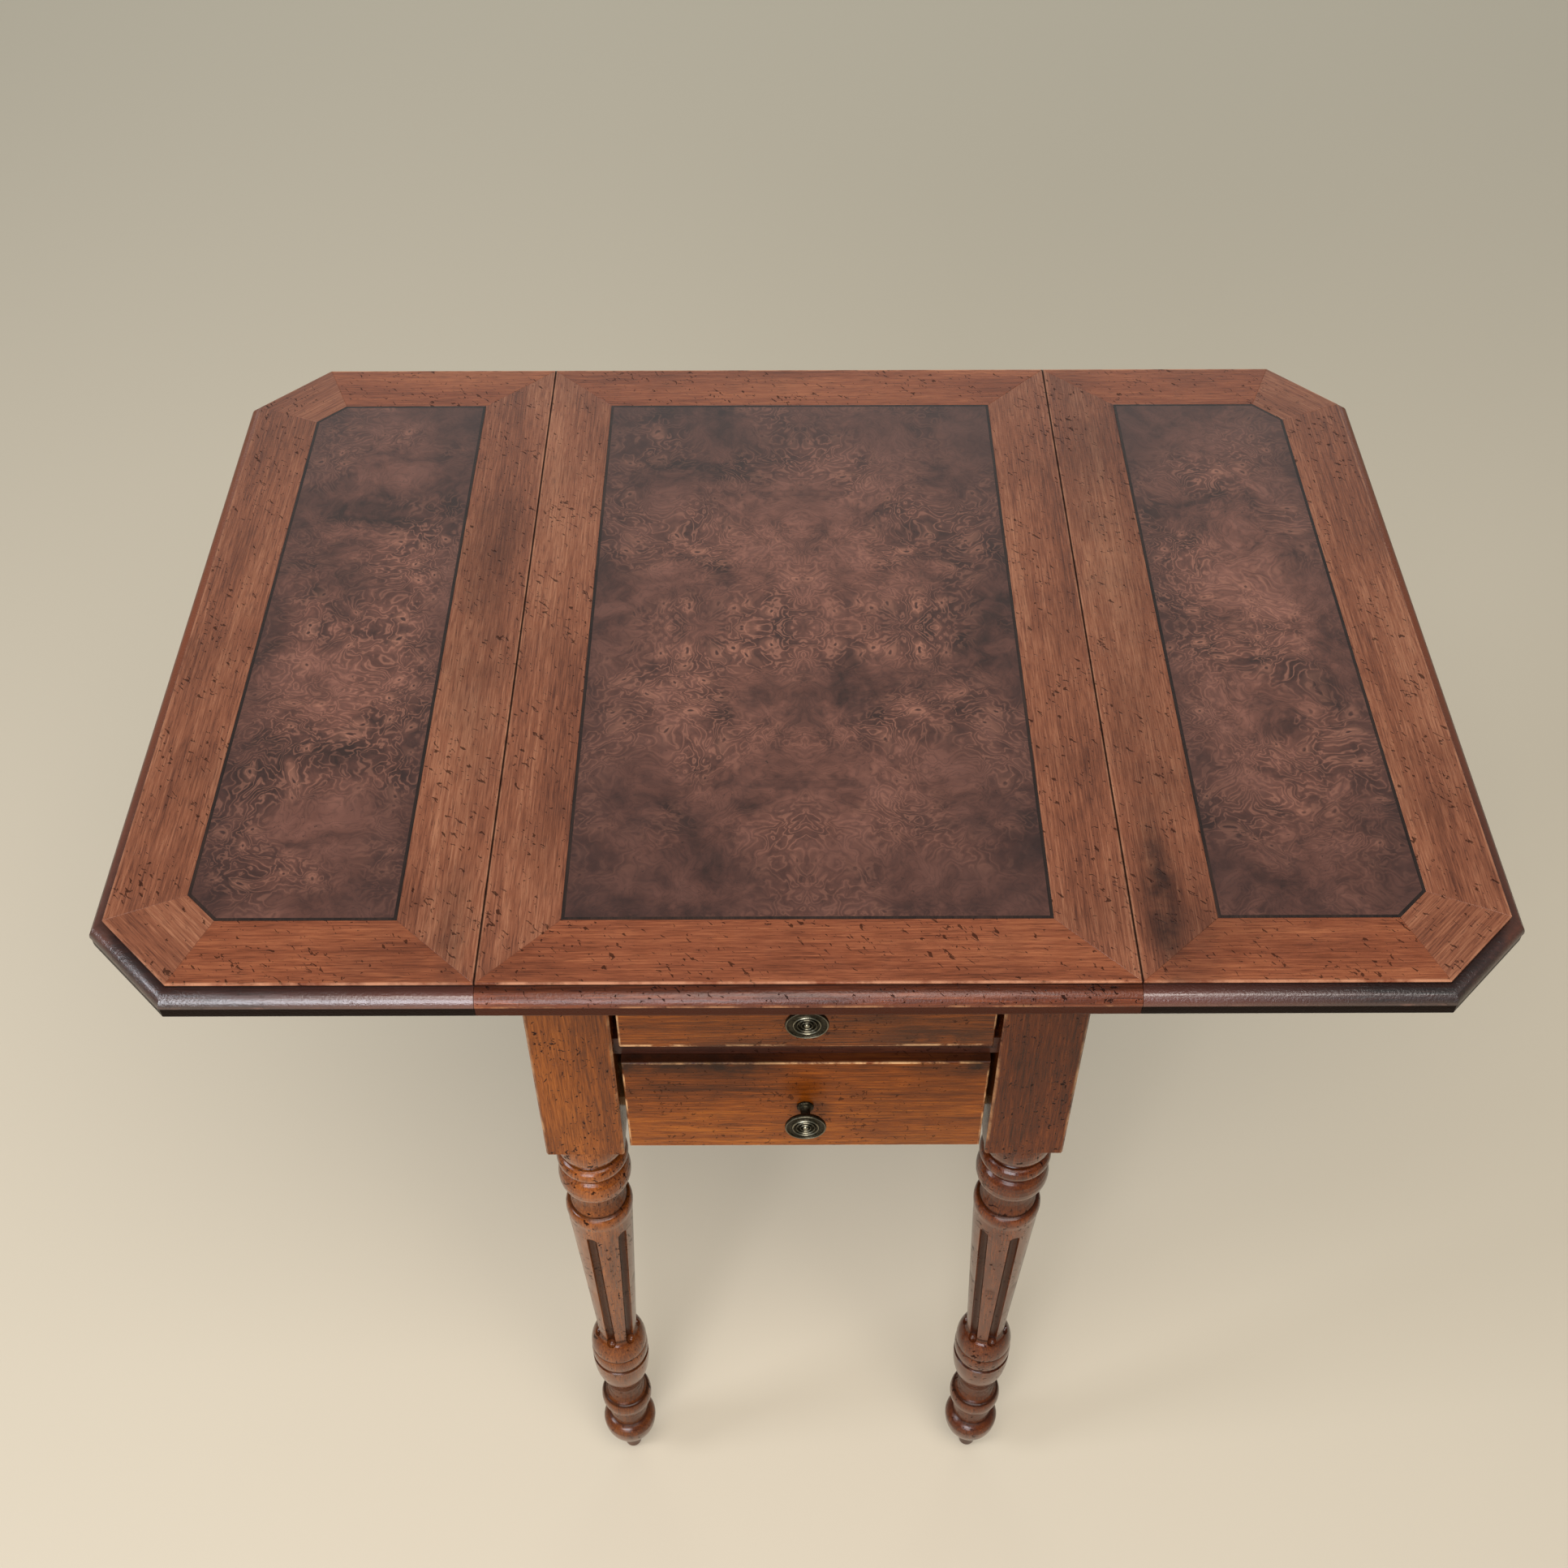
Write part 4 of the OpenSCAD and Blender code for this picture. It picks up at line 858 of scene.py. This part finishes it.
def knob(which):
    node = "drawer_" + which + "_knob"
    low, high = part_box(node)
    centre = (low + high) / 2
    face_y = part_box("drawer_" + which + "_front")[0].y
    mesh = bpy.data.meshes.new("knob_of_" + which + "_drawer")
    points = [(r / 1000 + centre.x, face_y - h / 1000, centre.z) for r, h in knob_outline]
    mesh.from_pydata(points, [(i, i + 1) for i in range(len(points) - 1)], [])
    piece = bpy.data.objects.new(mesh.name, mesh)
    bpy.context.scene.collection.objects.link(piece)
    bpy.ops.object.select_all(action="DESELECT")
    piece.select_set(True)
    bpy.context.view_layer.objects.active = piece
    bpy.ops.object.mode_set(mode="EDIT")
    bpy.ops.mesh.select_all(action="SELECT")
    bpy.ops.mesh.spin(steps=72, angle=radians(360), center=centre, axis=(0, 1, 0))
    bpy.ops.mesh.select_all(action="SELECT")
    bpy.ops.mesh.remove_doubles(threshold=0.00002)
    bpy.ops.mesh.normals_make_consistent(inside=False)
    bpy.ops.object.mode_set(mode="OBJECT")
    bpy.ops.object.shade_smooth_by_angle(angle=radians(60))
    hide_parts(node)
    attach(piece, "drawer_" + which)
    print(piece.name, "faces:", len(piece.data.polygons))
    return piece


# %% Antique brass
def antique_brass():
    material, tree, shader = new_material("patinated_turned_brass")
    here = add(tree, "TexCoord").outputs["Object"]
    y = add(tree, "SeparateXYZ", {"Vector": here}).outputs["Y"]
    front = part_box("drawer_upper_front")[0].y
    crest = add(tree, "MapRange", {"Value": y, "From Min": front - 0.0164, "From Max": front - 0.0169,
                                   "To Min": 0.0, "To Max": 1.0})
    cloud = add(tree, "TexNoise", {"Vector": here, "Scale": 420.0, "Detail": 4})
    cloud = add(tree, "MapRange", {"Value": cloud, "From Min": 0.35, "From Max": 0.7,
                                   "To Min": 0.55, "To Max": 1.0})
    crest = add(tree, "Math", {0: crest, 1: cloud}, operation="MULTIPLY")
    patina = add(tree, "TexNoise", {"Vector": here, "Scale": 900.0, "Detail": 3})
    patina = add(tree, "ValToRGB", {"Fac": patina}, stops=[(0.35, "#211e17"), (0.7, "#3f3a2d")])
    base = add(tree, "Mix", {"Factor": crest, "A": patina, "B": colour("#a39d88")}, data_type="RGBA")
    tree.links.new(base.outputs["Result"], shader.inputs["Base Color"])
    rough = add(tree, "MapRange", {"Value": crest, "To Min": 0.46, "To Max": 0.24})
    tree.links.new(rough.outputs["Result"], shader.inputs["Roughness"])
    bump = add(tree, "Bump", {"Height": cloud, "Strength": 0.15, "Distance": 0.0002})
    tree.links.new(bump.outputs["Normal"], shader.inputs["Normal"])
    shader.inputs["Metallic"].default_value = 1.0
    return material


brass = antique_brass()
for which in ("upper", "lower"):
    knob(which).data.materials.append(brass)

# %% [markdown]
# ## Frame, rails and drawer boxes
#
# The aprons and the outer rails were stained with the legs. What is inside was never meant to be
# seen: the drawer boxes and the runners are of plain poplar, left bare or thinly waxed, dry and
# rougher to the light, and yellowed with age.

# %% Plain parts
apron_side = polished_wood("stained_cherry_side_aprons", "#41200f", "#6b381d", "#854b28",
                           along="Y", cloud=0.5, specks=0.5, gloss=0.4)
apron_back = polished_wood("stained_cherry_back_apron", "#41200f", "#6b381d", "#854b28",
                           along="X", cloud=0.5, specks=0.5, gloss=0.4)
rail_side = polished_wood("stained_beech_rails", "#4a2a15", "#754521", "#8d5a30", along="Y",
                          line_mm=6, cloud=0.4, specks=0.4, gloss=0.42)
# The rail between the drawers is stained cherry painted near-black as shade, for the shadow it sits in
# between the two fronts.
rail_front = polished_wood("stained_cherry_drawer_rail_painted_shade", "#1d0b05", "#35160a", "#522610",
                           along="X", cloud=0.5, specks=0.6, gloss=0.38)
poplar_y = polished_wood("waxed_poplar_lengthways", "#8c6238", "#b48a58", "#cda873", along="Y",
                         line_mm=7, cloud=0.12, specks=0.1, gloss=0.6, coat=0.0, pores=0.25)
poplar_x = polished_wood("waxed_poplar_crossways", "#8c6238", "#b48a58", "#cda873", along="X",
                         line_mm=7, cloud=0.12, specks=0.1, gloss=0.6, coat=0.0, pores=0.25)
dress("apron_left", apron_side)
dress("apron_right", apron_side)
dress("apron_back", apron_back)
dress("drawer_divider", rail_front)
for node in ("side_rail_left", "side_rail_right", "bracket_left", "bracket_right"):
    dress(node, rail_side)
for node in ("upper_runners", "lower_runners", "drawer_stops", "top_blocks"):
    dress(node, poplar_y)
for which in ("upper", "lower"):
    dress("drawer_" + which + "_sides", poplar_y)
    dress("drawer_" + which + "_back", poplar_x)
    dress("drawer_" + which + "_bottom", poplar_x)
print("materials so far:", [m.name for m in bpy.data.materials if m.users])


# %% [markdown]
# ## Iron fittings
#
# Hinges, pins and screws are bright drawn steel gone grey and brown with age: a metal with a dull,
# slightly pitted surface and spots of rust.

# %% Steel
def aged_steel():
    material, tree, shader = new_material("aged_drawn_steel")
    here = add(tree, "TexCoord").outputs["Object"]
    spots = add(tree, "TexNoise", {"Vector": here, "Scale": 260.0, "Detail": 5, "Roughness": 0.65})
    base = add(tree, "ValToRGB", {"Fac": spots},
               stops=[(0.38, "#3b2c22"), (0.50, "#6a635a"), (0.72, "#8e8980")])
    tree.links.new(base.outputs["Color"], shader.inputs["Base Color"])
    rough = add(tree, "MapRange", {"Value": spots, "From Min": 0.3, "From Max": 0.7,
                                   "To Min": 0.62, "To Max": 0.34})
    tree.links.new(rough.outputs["Result"], shader.inputs["Roughness"])
    bump = add(tree, "Bump", {"Height": spots, "Strength": 0.25, "Distance": 0.0002})
    tree.links.new(bump.outputs["Normal"], shader.inputs["Normal"])
    shader.inputs["Metallic"].default_value = 0.9
    return material


steel = aged_steel()
for node in ("hinge_plates", "hinge_pins", "hinge_flaps_left", "hinge_flaps_right", "top_screws",
             "hinge_screws_centre", "hinge_screws_left", "hinge_screws_right", "bracket_pins"):
    dress(node, steel)
    print(node, "is steel")
